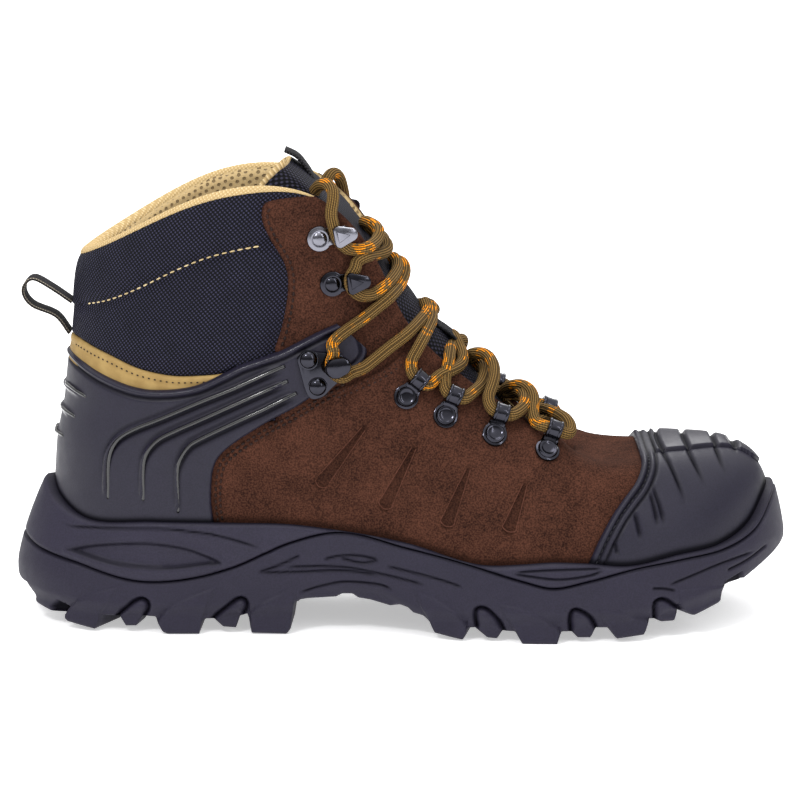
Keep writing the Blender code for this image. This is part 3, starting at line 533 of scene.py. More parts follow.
# Finding a pixel's point: rounds, how far apart the probes lie, and the longest move in a round
ROUNDS = 3
PROBE = 0.01
LONGEST = 0.3


class Seen:
    """Finds the points of a surface that the camera sees at given pixels."""

    def __init__(self, surface, first, second):
        grid = np.meshgrid(first, second, indexing="ij")
        self.surface = surface
        self.known = np.stack([axis.ravel() for axis in grid], 1)
        self.shown = project(surface(self.known[:, 0], self.known[:, 1]))

    def at(self, pixels):
        found = []
        for pixel in np.asarray(pixels, float):
            guess = self.known[np.argmin(((self.shown - pixel) ** 2).sum(1))]
            for _ in range(ROUNDS):
                probe = guess + np.array([[0.0, 0.0], [PROBE, 0.0], [0.0, PROBE]])
                here = project(self.surface(probe[:, 0], probe[:, 1]))
                slope = (here[1:] - here[0]).T / PROBE
                move = np.linalg.lstsq(slope, pixel - here[0], rcond=None)[0]
                guess = guess + np.clip(move, -LONGEST, LONGEST)
            found.append(guess)
        return np.array(found)

    def side(self, pixels):
        """Those points seen from the side: x and height."""
        spots = self.at(pixels)
        return self.surface(spots[:, 0], spots[:, 1])[:, [0, 2]]


# Thickness of the rubber guards on toe and heel
GUARD = 2.8
ON_UPPER = Seen(form, np.linspace(0.05, 9.7, 120), np.linspace(0.02, 1.0, 60))
ON_GUARD = Seen(lambda q, t: on_form(q, t, np.full(np.shape(q), GUARD)), ON_UPPER.known[::60, 0],
                np.linspace(0.02, 0.95, 60))
ON_SOLE = Seen(lambda q, z: side_wall(np.asarray(q, float), np.asarray(z, float)),
               np.linspace(0.02, 9.9, 130), np.linspace(-1.0, 58.0, 60))


# Fields seen from the side, in millimetres

def to_line(spots, line):
    """Distance of each spot from a line, and the share of the way along it."""
    best = np.full(len(spots), 1e9)
    along = np.zeros(len(spots))
    run = run_of(line)
    for i, (a, b) in enumerate(zip(line, line[1:])):
        way = b - a
        size = max(way @ way, 1e-9)
        t = np.clip(((spots - a) @ way) / size, 0.0, 1.0)
        far = np.linalg.norm(spots - a - t[:, None] * way, axis=1)
        near = far < best
        best = np.where(near, far, best)
        along = np.where(near, run[i] + t * math.sqrt(size), along)
    return best, along / run[-1]


def inside(spots, outline):
    """Distance from an outline, over 0 inside it."""
    ring = np.concatenate([outline, outline[:1]])
    far = to_line(spots, ring)[0]
    odd = np.zeros(len(spots), bool)
    for a, b in zip(ring, ring[1:]):
        if a[1] == b[1]:
            continue
        spans = (a[1] > spots[:, 1]) != (b[1] > spots[:, 1])
        cross = a[0] + (spots[:, 1] - a[1]) / (b[1] - a[1]) * (b[0] - a[0])
        odd ^= spans & (spots[:, 0] < cross)
    return np.where(odd, far, -far)


def bead(spots, line, half, fade=0.12):
    """A rounded ridge of height 1 along a line, fading at both ends."""
    far, along = to_line(spots, line)
    ends = smooth(0.0, fade, along) * smooth(1.0, 1.0 - fade, along) if fade else 1.0
    return hump(far, half) * ends


# Meshes

PIECES = bpy.data.collections.new("boot")
bpy.context.scene.collection.children.link(PIECES)


def make(name, points, faces, looks, uv=None, masks=None, slots=None, sharp=False):
    """A piece of the boot from points in millimetres, riding on the boot's one body."""
    mesh = bpy.data.meshes.new(name)
    mesh.from_pydata(((np.asarray(points, float) - MIDDLE) * MM).tolist(), [], faces)
    corner = np.empty(len(mesh.loops), np.int32)
    mesh.loops.foreach_get("vertex_index", corner)
    if uv is not None:
        layer = mesh.uv_layers.new(name="UVMap")
        layer.uv.foreach_set("vector", np.asarray(uv, np.float32)[corner].ravel())
    for key, value in (masks or {}).items():
        made = mesh.attributes.new(key, "FLOAT", "POINT")
        made.data.foreach_set("value", np.asarray(value, np.float32))
    mesh.polygons.foreach_set("use_smooth", np.full(len(mesh.polygons), not sharp))
    for look in looks if isinstance(looks, (list, tuple)) else [looks]:
        mesh.materials.append(look)
    if slots is not None:
        mesh.polygons.foreach_set("material_index", np.asarray(slots, np.int32))
    mesh.update()
    piece = bpy.data.objects.new(name, mesh)
    PIECES.objects.link(piece)
    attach(piece, "root")
    return piece


def ring_faces(count, rings):
    """Quads between rings of points that follow one another, each ring closed on itself."""
    first = np.arange(rings - 1)[:, None] * count
    i = np.arange(count)[None, :]
    j = (i + 1) % count
    quads = np.stack([first + i, first + j, first + count + j, first + count + i], -1)
    return quads.reshape(-1, 4).tolist()


def closed_faces(count, rings):
    """The same, with a face over the first ring and one over the last."""
    faces = ring_faces(count, rings)
    faces.append(list(range(count))[::-1])
    faces.append(list(range((rings - 1) * count, rings * count)))
    return faces


def grid_faces(rows, columns):
    i = np.arange(rows - 1)[:, None] * columns + np.arange(columns - 1)[None, :]
    return np.stack([i, i + columns, i + columns + 1, i + 1], -1).reshape(-1, 4)


def clip(values, field, quads):
    """Cuts quads where the field is 0 and keeps what is over 0. values has a row for each point."""
    within = field[quads] > 0.0
    faces = quads[within.all(1)].tolist()
    cut = {}
    extra = []

    def crossing(a, b):
        key = (min(a, b), max(a, b))
        if key not in cut:
            t = field[key[0]] / (field[key[0]] - field[key[1]])
            cut[key] = len(values) + len(extra)
            extra.append((1.0 - t) * values[key[0]] + t * values[key[1]])
        return cut[key]

    for quad in quads[within.any(1) & ~within.all(1)].tolist():
        corners = []
        for a, b in zip(quad, quad[1:] + quad[:1]):
            if field[a] > 0.0:
                corners.append(a)
            if (field[a] > 0.0) != (field[b] > 0.0):
                corners.append(crossing(a, b))
        faces.append(corners)
    values = np.concatenate([values, np.array(extra).reshape(-1, values.shape[1])])
    used = np.unique(np.concatenate([np.array(face) for face in faces]))
    place = np.full(len(values), -1)
    place[used] = np.arange(len(used))
    return values[used], [[int(place[i]) for i in face] for face in faces]


def rim_edges(faces):
    """Edges that belong to one face only, as they run in it."""
    seen_edges = {}
    for face in faces:
        for a, b in zip(face, face[1:] + face[:1]):
            key = (min(a, b), max(a, b))
            seen_edges[key] = None if key in seen_edges else (a, b)
    return [edge for edge in seen_edges.values() if edge]


PLACE_TABLE = np.linspace(-LOOP, 2 * LOOP, 1501)
ROUND_TABLE = run_of(form(PLACE_TABLE, 0.5))
WALL_TABLE = np.linalg.norm(np.diff(form(PLACE_TABLE[:, None], np.linspace(0, 1, 15)), axis=1), axis=2).sum(1)


def wall_length(place):
    """Length of the wall from the sole to the top line."""
    return np.interp(place, PLACE_TABLE, WALL_TABLE)


def metric(place, share):
    """Millimetres round the shoe and up the wall, for weaves and grain."""
    return np.stack([np.interp(place, PLACE_TABLE, ROUND_TABLE), share * wall_length(place)], 1)


# A panel of the upper: first and last place, steps between them, rows up the wall, and how far its edge
# turns in
Panel = namedtuple("Panel", "start end steps rows drop")
SUEDE_OUTER = Panel(0.0, 8.4, 400, 190, 1.6)
SUEDE_INNER = Panel(-8.4, 0.0, 400, 190, 1.6)
CLOTH_PANEL = Panel(6.0, 14.0, 330, 150, 1.2)
STRIP_PANEL = Panel(6.5, 13.5, 420, 150, 1.6)
COUNTER_PANEL = Panel(5.2, 14.8, 570, 196, 2.7)
CAP_PANEL = Panel(-4.6, 4.6, 580, 236, 2.6)


def places_of(size):
    return np.linspace(size.start, size.end, size.steps)


# A ridge or, if its height is below 0, a groove beside a line: its height, distance from the line and width
Ridge = namedtuple("Ridge", "high at width")
STRIP_GROOVE = Ridge(-0.3, 0.0, 0.8)
LIP = Ridge(0.75, 1.3, 0.9)
LIP_GROOVE = Ridge(-0.9, 3.3, 0.7)
CAP_BANDS = [Ridge(0.5, 1.2, 0.7), Ridge(0.6, 4.0, 0.7)]
CAP_GROOVES = [Ridge(1.0, 2.6, 0.65), Ridge(1.0, 5.5, 0.65)]
CREASE = Ridge(-0.55, 0.0, 2.6)
CREASE_SIDE = Ridge(0.35, 5.0, 3.5)


def ridge(far, row):
    return row.high * hump(far - row.at, row.width)


def patch(name, size, low, high, keep, height, look):
    """A panel between two shares of the wall: where keep is over 0, raised by height."""
    places = places_of(size)
    rows = size.rows
    place = np.repeat(places, rows)
    t = np.tile(np.linspace(0.0, 1.0, rows), len(places))
    share = np.repeat(low, rows) * (1.0 - t) + np.repeat(high, rows) * t
    spots = form(place, share)[:, [0, 2]]
    quads = grid_faces(len(places), rows)
    values = np.stack([place, share], 1)
    values, faces = clip(values, keep(spots, place, share), quads)
    place, share = values.T
    spots = form(place, share)[:, [0, 2]]
    raised, marks = height(spots, place, share)
    top = on_form(place, share, raised)
    edges = rim_edges(faces)
    rim = sorted({a for edge in edges for a in edge})
    under = {a: len(top) + i for i, a in enumerate(rim)}
    below = on_form(place[rim], share[rim], raised[rim] - size.drop)
    faces = faces + [[b, a, under[a], under[b]] for a, b in edges]
    uv = metric(place, share)
    marks = {key: np.append(value, value[rim]) for key, value in marks.items()}
    points = np.concatenate([top, below])
    probe = faces[len(faces) // 3]
    normal = np.cross(points[probe[1]] - points[probe[0]], points[probe[2]] - points[probe[1]])
    if normal @ outward(place[probe[0]], share[probe[0]]) < 0.0:
        faces = [face[::-1] for face in faces]
    return make(name, points, faces, look, np.concatenate([uv, uv[rim]]), marks)


def both_sides(spots):
    """Places and shares on the outer side, and the same on the inner side."""
    return spots, spots * (-1.0, 1.0) + (LOOP, 0.0)


def joined(shapes):
    """Points and faces of several shapes as one."""
    points = []
    faces = []
    start = 0
    for part, part_faces in shapes:
        points.append(part)
        faces += [[start + i for i in face] for face in part_faces]
        start += len(part)
    return np.concatenate(points), faces


def tube(path, radius, sides, turn=0.0):
    """Points, faces and UV of a round cord along a path, closed at both ends."""
    way = unit(np.gradient(path, axis=0))
    across = np.cross(way[0], (0.3, 0.5, 0.8))
    angle = turn + np.arange(sides) * 2.0 * np.pi / sides
    rings = []
    for point, ahead in zip(path, way):
        across = across - ahead * (across @ ahead)
        across /= np.linalg.norm(across)
        other = np.cross(ahead, across)
        rings.append(point + radius * (np.cos(angle)[:, None] * across + np.sin(angle)[:, None] * other))
    run = run_of(path)
    around = np.abs(np.arange(sides) * 2.0 / sides - 1.0)
    uv = np.stack([np.repeat(run, sides), np.tile(around, len(path))], 1)
    return np.concatenate(rings), closed_faces(sides, len(path)), uv


# Materials

class Look:
    """A material built round one Principled shader."""

    def __init__(self, name, roughness, **constants):
        self.material = bpy.data.materials.new(name)
        self.material.use_nodes = True
        self.tree = self.material.node_tree
        self.shader = self.tree.nodes["Principled BSDF"]
        self.set("Roughness", roughness)
        for key, value in constants.items():
            self.set(key.replace("_", " "), value)
        self.place = self.node("ShaderNodeTexCoord").outputs["Object"]
        self.cloth = self.node("ShaderNodeUVMap").outputs["UV"]

    def set(self, socket, value):
        self.put(self.shader.inputs[socket], value)

    def put(self, socket, value):
        if isinstance(value, bpy.types.NodeSocket):
            self.tree.links.new(value, socket)
        elif isinstance(value, (tuple, list)) and socket.type == "RGBA":
            socket.default_value = (*value[:3], 1.0)
        else:
            socket.default_value = value

    def node(self, kind, inputs=None, **settings):
        made = self.tree.nodes.new(kind)
        for key, value in settings.items():
            setattr(made, key, value)
        for key, value in (inputs or {}).items():
            self.put(made.inputs[key], value)
        return made

    def math(self, operation, a, b=0.0, c=0.0):
        return self.node("ShaderNodeMath", {0: a, 1: b, 2: c}, operation=operation).outputs[0]

    def noise(self, size, detail=3.0, place=None):
        """Noise whose features are about size millimetres across."""
        inputs = {"Vector": place or self.place, "Scale": 1.0 / (size * MM), "Detail": detail}
        return self.node("ShaderNodeTexNoise", inputs).outputs["Fac"]

    def step(self, value, start, end):
        made = self.node("ShaderNodeMapRange", {"Value": value, "From Min": start, "From Max": end},
                         interpolation_type="SMOOTHSTEP")
        return made.outputs["Result"]

    def mix(self, share, a, b):
        made = self.node("ShaderNodeMix", data_type="RGBA")
        self.put(made.inputs["Factor"], share)
        self.put(made.inputs[6], a)
        self.put(made.inputs[7], b)
        return made.outputs[2]

    def mask(self, name):
        return self.node("ShaderNodeAttribute", attribute_name=name).outputs["Fac"]

    def axes(self):
        parts = self.node("ShaderNodeSeparateXYZ", {0: self.cloth})
        return parts.outputs[0], parts.outputs[1]

    def bump(self, height, deep, strength=1.0):
        """Bump of a height from 0 to 1 that stands for deep millimetres."""
        made = self.node("ShaderNodeBump", {"Height": height, "Distance": deep * MM, "Strength": strength})
        if self.shader.inputs["Normal"].links:
            self.put(made.inputs["Normal"], self.shader.inputs["Normal"].links[0].from_socket)
        self.set("Normal", made.outputs[0])


def srgb(red, green, blue):
    """A colour as a screen shows it, as the shader takes it."""
    parts = [c / 255 for c in (red, green, blue)]
    return tuple(c / 12.92 if c < 10 / 255 else ((c + 0.055) / 1.055) ** 2.4 for c in parts)


def shaded(colour, times):
    """A colour made paler or darker."""
    return tuple(times * c for c in srgb(*colour))


def suede_look(name, pale, dark):
    look = Look(name, 0.95, Specular_IOR_Level=0.05)
    cloudy = look.step(look.noise(14.0, 4.0), 0.3, 0.7)
    fleck = look.step(look.noise(2.6, 5.0), 0.25, 0.75)
    nap = look.step(look.noise(0.62, 2.0), 0.3, 0.7)
    fine = look.math("MULTIPLY_ADD", fleck, 0.15, look.math("MULTIPLY", nap, 0.6))
    brushed = look.math("MULTIPLY_ADD", cloudy, 0.25, fine)
    colour = look.mix(brushed, srgb(*dark), srgb(*pale))
    # pressed is painted shade: the dark mask darkens the suede in the sunk pressed marks, along the cloth's
    # edge and the seam, at the guards' edges and along the sole's rim
    pressed = look.math("MULTIPLY", look.mask("dark"), 0.6)
    look.set("Base Color", look.mix(pressed, colour, srgb(32, 18, 14)))
    look.bump(look.noise(0.5, 4.0), 0.22, 0.8)
    look.bump(look.noise(1.6, 3.0), 0.25, 0.6)
    return look.material


def rubber_look(name, colour, roughness=0.5, grain=0.5):
    look = Look(name, roughness)
    cloudy = look.noise(22.0, 4.0)
    grit = look.step(look.noise(0.6, 2.0), 0.35, 0.65)
    speckle = look.math("MULTIPLY_ADD", grit, 0.5, look.math("MULTIPLY", cloudy, 0.5))
    shade = look.mix(speckle, shaded(colour, 0.75), shaded(colour, 1.3))
    # Painted shade: the dark mask darkens the rubber in grooves, slots, recesses, beside ribs, between lugs,
    # along the wave groove and along the sole's rim
    look.set("Base Color", look.mix(look.math("MULTIPLY", look.mask("dark"), 0.85), shade, srgb(9, 9, 11)))
    gloss = look.math("MULTIPLY_ADD", look.noise(5.0, 4.0), 0.2, roughness - 0.1)
    worn = look.math("MULTIPLY_ADD", look.mask("gloss"), -0.36, gloss)
    # The painted shade also lowers the specular in the same places
    look.set("Specular IOR Level", look.math("MULTIPLY_ADD", look.mask("dark"), -0.22, 0.24))
    look.set("Roughness", worn)
    look.bump(look.noise(0.6, 3.0), 0.07, grain)
    return look.material


def gloss_look(name, colour):
    """Polished rubber on the raised ribs."""
    look = Look(name, 0.22, Specular_IOR_Level=0.4, Coat_Weight=0.55, Coat_Roughness=0.06)
    look.set("Base Color", look.mix(look.noise(6.0), srgb(*colour), shaded(colour, 1.5)))
    return look.material


def weave(look, pitch):
    """Height of a plain weave whose threads are pitch millimetres apart."""
    u, v = look.axes()
    turn = math.pi / pitch
    a = look.math("SINE", look.math("MULTIPLY", u, turn))
    b = look.math("SINE", look.math("MULTIPLY", v, turn))
    return look.math("MULTIPLY_ADD", look.math("MULTIPLY", a, b), 0.5, 0.5)


def textile_look(name, pitch=0.85, dark=(5, 5, 9), pale=(58, 57, 80)):
    look = Look(name, 0.8, Specular_IOR_Level=0.14)
    cross = weave(look, pitch)
    # The weave's pattern is real; its pale thread tops and dark gaps between them are painted highlight and
    # painted shade, made patchy by noise
    threads = look.step(cross, 0.45, 0.95)
    patchy = look.math("MULTIPLY_ADD", look.noise(9.0), 0.7, 0.45)
    lit = look.math("MULTIPLY", threads, patchy)
    look.set("Base Color", look.mix(lit, srgb(*dark), srgb(*pale)))
    look.bump(cross, 0.35, 0.9)
    look.bump(look.noise(0.35), 0.1, 0.4)
    return look.material


HOLE_PITCH = 2.5
LACE_RIBS = 8.0


def mesh_lining_look():
    """Beige spacer mesh with rows of small holes."""
    look = Look("mesh_lining", 0.9, Sheen_Weight=0.15)
    u, v = look.axes()
    waves = []
    turn = 2.0 * math.pi / HOLE_PITCH
    for degrees in (0.0, 60.0, 120.0):
        angle = math.radians(degrees)
        along = look.math("MULTIPLY", u, turn * math.cos(angle))
        waves.append(look.math("COSINE", look.math("MULTIPLY_ADD", v, turn * math.sin(angle), along)))
    hole = look.math("ADD", look.math("ADD", waves[0], waves[1]), waves[2])
    open_part = look.step(hole, 0.6, 1.9)
    yarn = look.mix(look.noise(0.8), srgb(168, 142, 96), srgb(204, 179, 132))
    # Darker in the holes: painted shade
    look.set("Base Color", look.mix(look.math("MULTIPLY", open_part, 0.8), yarn, srgb(96, 74, 42)))
    look.bump(look.math("SUBTRACT", 1.0, open_part), 0.8, 0.9)
    look.bump(look.noise(0.5), 0.15, 0.5)
    return look.material


def smooth_leather_look(name, pale, dark):
    look = Look(name, 0.65, Specular_IOR_Level=0.2)
    look.set("Base Color", look.mix(look.step(look.noise(7.0, 4.0), 0.3, 0.7), srgb(*dark), srgb(*pale)))
    look.bump(look.noise(0.6, 4.0), 0.08, 0.6)
    return look.material


def metal_look(name, colour, roughness):
    look = Look(name, roughness, Metallic=1.0)
    smear = look.noise(3.0, 3.0)
    look.set("Base Color", look.mix(smear, srgb(*colour), shaded(colour, 1.5)))
    look.set("Roughness", look.math("MULTIPLY_ADD", smear, 0.16, roughness - 0.06))
    look.bump(look.noise(1.8), 0.03, 0.4)
    return look.material


def lace_look():
    """Ribbed olive braid with orange flecks that run along the ribs in clusters."""
    look = Look("lace_braid", 0.9, Specular_IOR_Level=0.15)
    u, v = look.axes()
    wave = look.math("SINE", look.math("MULTIPLY", v, LACE_RIBS * 2.0 * math.pi))
    rib = look.math("MULTIPLY_ADD", wave, 0.5, 0.5)
    slant = look.math("SINE", look.math("MULTIPLY_ADD", v, 40.0, look.math("MULTIPLY", u, 7.5)))
    plait = look.math("MULTIPLY_ADD", slant, 0.5, 0.5)
    # Darker between the ribs: painted shade in the braid's grooves
    base = look.mix(rib, srgb(46, 33, 15), srgb(138, 108, 60))
    base = look.mix(look.math("MULTIPLY", plait, 0.35), base, srgb(80, 60, 30))
    row = look.math("FLOOR", look.math("MULTIPLY", v, LACE_RIBS))
    cell = look.math("FLOOR", look.math("MULTIPLY_ADD", row, 0.43, look.math("MULTIPLY", u, 0.42)))
    spot = look.node("ShaderNodeCombineXYZ", {0: cell, 1: row})
    draw = look.node("ShaderNodeTexWhiteNoise", {"Vector": spot.outputs[0]}, noise_dimensions="3D")
    stretched = {0: look.math("MULTIPLY", u, 0.075), 1: look.math("MULTIPLY", v, 0.8)}
    far = look.node("ShaderNodeCombineXYZ", stretched)
    cluster = look.node("ShaderNodeTexNoise", {"Vector": far.outputs[0], "Scale": 1.0, "Detail": 1.0})
    drawn = look.step(draw.outputs["Value"], 0.42, 0.46)
    fleck = look.math("MULTIPLY", drawn, look.step(cluster.outputs["Fac"], 0.53, 0.57))
    fleck = look.math("MULTIPLY", fleck, look.step(rib, 0.25, 0.6))
    look.set("Base Color", look.mix(fleck, base, srgb(236, 146, 24)))
    look.bump(rib, 0.45, 0.9)
    look.bump(plait, 0.18, 0.7)
    return look.material


SUEDE = suede_look("suede", (82, 51, 39), (25, 14, 11))
# A paler copy of the suede for the raised edges of the pressed marks: painted highlight
SUEDE_EDGE = suede_look("suede_edge_highlight", (92, 58, 46), (60, 37, 29))
CAP_RUBBER = rubber_look("guard_rubber", (28, 26, 39), 0.46)
SOLE_RUBBER = rubber_look("outsole_rubber", (30, 27, 42), 0.58, 0.8)
FOAM = rubber_look("midsole_rubber", (34, 31, 46), 0.56, 0.8)
TEXTILE = textile_look("woven_textile")
TONGUE_CLOTH = textile_look("tongue_textile", 1.25, (4, 4, 7), (54, 53, 70))
KEEPER_LOOK = textile_look("keeper_webbing", 1.0, (6, 6, 9), (34, 33, 42))
GLOSS_RUBBER = gloss_look("glossy_rubber", (10, 10, 13))
LINING = mesh_lining_look()
BINDING = textile_look("binding", 0.8, (176, 150, 104), (212, 189, 146))
TAN = smooth_leather_look("tan_leather", (156, 130, 80), (138, 112, 66))
METAL = metal_look("black_nickel", (46, 46, 52), 0.13)
# A paler copy of the black nickel for the top hooks: painted reflection
LIT_NICKEL = metal_look("nickel_lit_copy", (110, 110, 118), 0.18)
LACE = lace_look()
TAPE_LOOK = textile_look("webbing", 0.7, (14, 13, 16), (52, 50, 54))
PALE_TAPE = textile_look("webbing_edge", 0.5, (92, 86, 78), (190, 180, 160))
CREAM_THREAD = smooth_leather_look("cream_thread", (206, 188, 146), (178, 156, 112))
BROWN_THREAD = smooth_leather_look("brown_thread", (44, 24, 18), (26, 14, 11))
BLACK_THREAD = smooth_leather_look("black_thread", (30, 30, 36), (18, 18, 22))


# Outlines of the panels, as pixels of the photograph on the outer side

EYESTAY_REAR = [
    (326, 197), (300, 197), (268, 202), (262, 212), (264, 226), (273, 244),
    (283, 260), (288, 277), (287, 302), (281, 331), (275, 348),
]
COUNTER_TOP = [
    (70, 352), (76, 357), (102, 375), (134, 388), (161, 391), (194, 387), (222, 375),
    (240, 366), (260, 359), (280, 352), (300, 342), (320, 332), (340, 323),
]
COUNTER_FRONT = [
    (352, 321), (361, 334), (366, 352), (360, 366), (345, 377), (330, 387),
    (312, 397), (295, 408), (272, 420), (250, 433), (232, 445), (219, 457), (213, 470), (211, 487),
    (211, 505), (214, 528),
]
STRIP_TOP = [
    (72, 333), (79, 338), (95, 348), (111, 356), (139, 369), (171, 376), (200, 376),
    (221, 374), (236, 368),
]
CAP_REAR = [
    (588, 567), (600, 541), (613, 517), (625, 500), (635, 487), (642, 472), (643, 460),
    (640, 449), (635, 442),
]
STITCH_LINE = [(84, 304), (107, 300), (134, 290), (172, 272), (201, 260), (230, 252), (268, 245)]
SEAM = [(330, 391), (352, 383), (378, 371), (398, 356), (413, 337), (420, 322)]
TEARDROPS = [
    [(371, 419), (321, 483)],
    [(419, 438), (385, 505)],
    [(472, 460), (447, 523)],
    [(528, 476), (509, 529)],
]
CREASES = [
    [(560, 440), (572, 480), (560, 530)],
    [(600, 448), (590, 490), (570, 540)],
    [(430, 400), (470, 440), (480, 500)],
    [(300, 300), (330, 310), (372, 300)],
    [(296, 250), (318, 262), (345, 258)],
    [(255, 470), (290, 490), (340, 500)],
]
LOW = 10.0
HIGH = 205.0
BACK = -175.0
FRONT = 175.0
# How far panels go on below the sole's rim, and under the panels that lie over them
SOLE_SIDE_RIM = 3.0
GUARD_BELOW_RIM = 1.5
LAPPED = 5.0
# Lowest heights of the cloth and of the tan strip, which other panels cover
CLOTH_LOW = 85.0
STRIP_LOW = 80.0


def outline(*lines):
    return np.concatenate([np.asarray(line, float) for line in lines])


eyestay_rear = curve(ON_UPPER.side(EYESTAY_REAR))
counter_top = curve(ON_GUARD.side(COUNTER_TOP))
counter_front = curve(ON_GUARD.side(COUNTER_FRONT))
strip_top = curve(ON_UPPER.side(STRIP_TOP))
cap_rear = curve(ON_GUARD.side(CAP_REAR))
stitch_line = curve(ON_UPPER.side(STITCH_LINE))
seam_line = curve(ON_UPPER.side(SEAM))
teardrops = [ON_UPPER.side(line) for line in TEARDROPS]
creases = [curve(ON_UPPER.side(line)) for line in CREASES]

COUNTER = outline(counter_top, counter_front,
                  [(counter_front[-1, 0], LOW), (BACK, LOW), (BACK, counter_top[0, 1])])
CAP = outline(cap_rear, [(cap_rear[-1, 0] - 8.0, cap_rear[-1, 1] + 4.0), (cap_rear[-1, 0] - 10.0, HIGH),
                         (FRONT, HIGH), (FRONT, LOW), (cap_rear[0, 0], LOW)])
CLOTH = outline(eyestay_rear, [(eyestay_rear[-1, 0], CLOTH_LOW), (BACK, CLOTH_LOW), (BACK, HIGH),
                               (eyestay_rear[0, 0], HIGH)])
STRIP = outline(strip_top, [(strip_top[-1, 0], STRIP_LOW), (BACK, STRIP_LOW), (BACK, strip_top[0, 1])])


# Rolled top edge of the collar: how far it lies in from the form, and its height as a share of its width
ROLL_INSET = 0.8
ROLL_HEIGHT = 0.84


def collar_roll(place):
    """Half the thickness of the rolled top edge, and the share of the wall where the roll starts."""
    thick = wall(place, np.ones_like(place)) - ROLL_INSET
    return 0.5 * thick, 1.0 - ROLL_HEIGHT * 0.5 * thick / wall_length(place % LOOP)


def rim_share(places, below=SOLE_SIDE_RIM):
    """The share of the wall at which a panel starts, a little below the sole's rim."""
    seat = footbed(form(places, 0.0)[:, 0]) + 1.0
    return share_at(places, np.maximum(sole_column("rim", places) - below, seat))


def roll_off(far, reach, deep):
    """How far a panel's face drops as it nears its edge."""
    return -deep * np.clip(1.0 - far / reach, 0.0, 1.0) ** 2


def painted_sole_shadow(spots, place):
    """How near a spot is to the sole's rim, where a contact shadow is painted."""
    return hump(np.clip(spots[:, 1] - sole_column("rim", place) - 0.6, 0.0, None), 1.3)


# Fineness and depth of the shell: points round it, rows of backing, roll and lining
SHELL_ROUND = 320
BACKING_ROWS = 26
ROLL_ROWS = 11
LINING_ROWS = 44
BACKING_DEPTH = 1.7


def build_shell():
    """The hollow inside of the upper: backing cloth, rolled collar edge and mesh lining."""
    places = np.arange(SHELL_ROUND) * LOOP / SHELL_ROUND
    half, start = collar_roll(places)
    rows = []
    shares = []
    for t in np.linspace(0.0, 1.0, BACKING_ROWS):
        share = start * t
        rows.append(on_form(places, share, np.full(SHELL_ROUND, -BACKING_DEPTH)))
        shares.append(share)
    outer_rows = len(rows)
    middle = on_form(places, start, -ROLL_INSET - half)
    up_way = unit(slopes(places, start)[1])
    out_way = outward(places, start)
    for angle in np.linspace(0.0, np.pi, ROLL_ROWS):
        out = out_way * (half * math.cos(angle))[:, None]
        rows.append(middle + out + up_way * (ROLL_HEIGHT * half * math.sin(angle))[:, None])
        shares.append(start + 0.02 * math.sin(angle))
    for t in np.linspace(1.0, 0.0, LINING_ROWS):
        share = start * t
        rows.append(on_form(places, share, -wall(places, share)))
        shares.append(share + 0.05)
    faces = ring_faces(SHELL_ROUND, len(rows))
    slots = np.zeros(len(faces), int)
    band = np.arange(len(faces)) // SHELL_ROUND
    slots[band >= outer_rows - 1] = 1
    slots[band > outer_rows + ROLL_ROWS - 3] = 2
    uv = np.concatenate([metric(places, share) for share in shares])
    faces = [face[::-1] for face in faces]
    shell = make("upper_shell", np.concatenate(rows), faces, [TEXTILE, BINDING, LINING], uv, None, slots)
    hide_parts("upper")


def build_suede():
    """The suede of both sides, with its pressed marks, its seam and its creases."""

    def keep(spots, place, share):
        covered = np.maximum(inside(spots, COUNTER), inside(spots, CAP))
        return np.minimum(-inside(spots, CLOTH), LAPPED - covered)

    def height(spots, place, share):
        edge = np.minimum(-inside(spots, CLOTH), (1.0 - share) * wall_length(place))
        raised = 0.2 + roll_off(edge, 1.4, 0.9)
        # dark is painted shade: along the cloth's edge, in the sunk pressed marks and along the seam
        dark = 0.5 * np.clip(1.0 - edge / 1.2, 0.0, 1.0)
        for line in teardrops:
            far, along = to_line(spots, line)
            half = 0.7 + 1.6 * along
            shown = smooth(0.0, 0.2, along)
            sunk = smooth(half + 0.5, half - 0.5, far) * shown
            rim = hump(far - half - 1.1, 0.7) * shown
            raised = raised - 1.0 * sunk + 0.35 * rim
            dark = np.maximum(dark - 0.5 * rim, 0.5 * sunk)
        far, along = to_line(spots, seam_line)
        below = smooth(-0.5, 0.5, side_of(spots, seam_line))
        near = smooth(1.0, 0.93, along) * smooth(0.0, 0.04, along)
        raised = raised + 0.7 * below * hump(far, 9.0) * near
        dark = np.maximum(dark, 0.7 * hump(far, 0.7) * near)
        for line in creases:
            far, along = to_line(spots, line)
            soft = smooth(0.0, 0.3, along) * smooth(1.0, 0.7, along)
            raised = raised + soft * (ridge(far, CREASE_SIDE) + ridge(far, CREASE))
        # Painted shade where the guards meet the suede, and a painted contact shadow along the sole's rim
        rim = np.minimum(np.abs(inside(spots, COUNTER)), np.abs(inside(spots, CAP)))
        dark = np.maximum(dark, 0.5 * np.exp(-rim))
        dark = np.maximum(dark, 0.8 * painted_sole_shadow(spots, place))
        return raised, {"dark": dark}

    panels = []
    for name, size in (("suede_outer_half", SUEDE_OUTER), ("suede_inner_half", SUEDE_INNER)):
        low = rim_share(places_of(size))
        panel = patch(name, size, low, np.ones_like(low), keep, height, SUEDE)
        panels.append(panel)
    return panels


def side_of(spots, line):
    """Distance from a line that runs towards the toe, over 0 below it."""
    best = np.full(len(spots), 1e9)
    signed = np.zeros(len(spots))
    for a, b in zip(line, line[1:]):
        way = b - a
        t = np.clip(((spots - a) @ way) / (way @ way), 0.0, 1.0)
        off = spots - a - t[:, None] * way
        far = np.linalg.norm(off, axis=1)
        sign = np.sign(off[:, 0] * way[1] - off[:, 1] * way[0])
        near = far < best
        best = np.where(near, far, best)
        signed = np.where(near, sign * far, signed)
    return signed


CLOTH_PUFF = 1.5


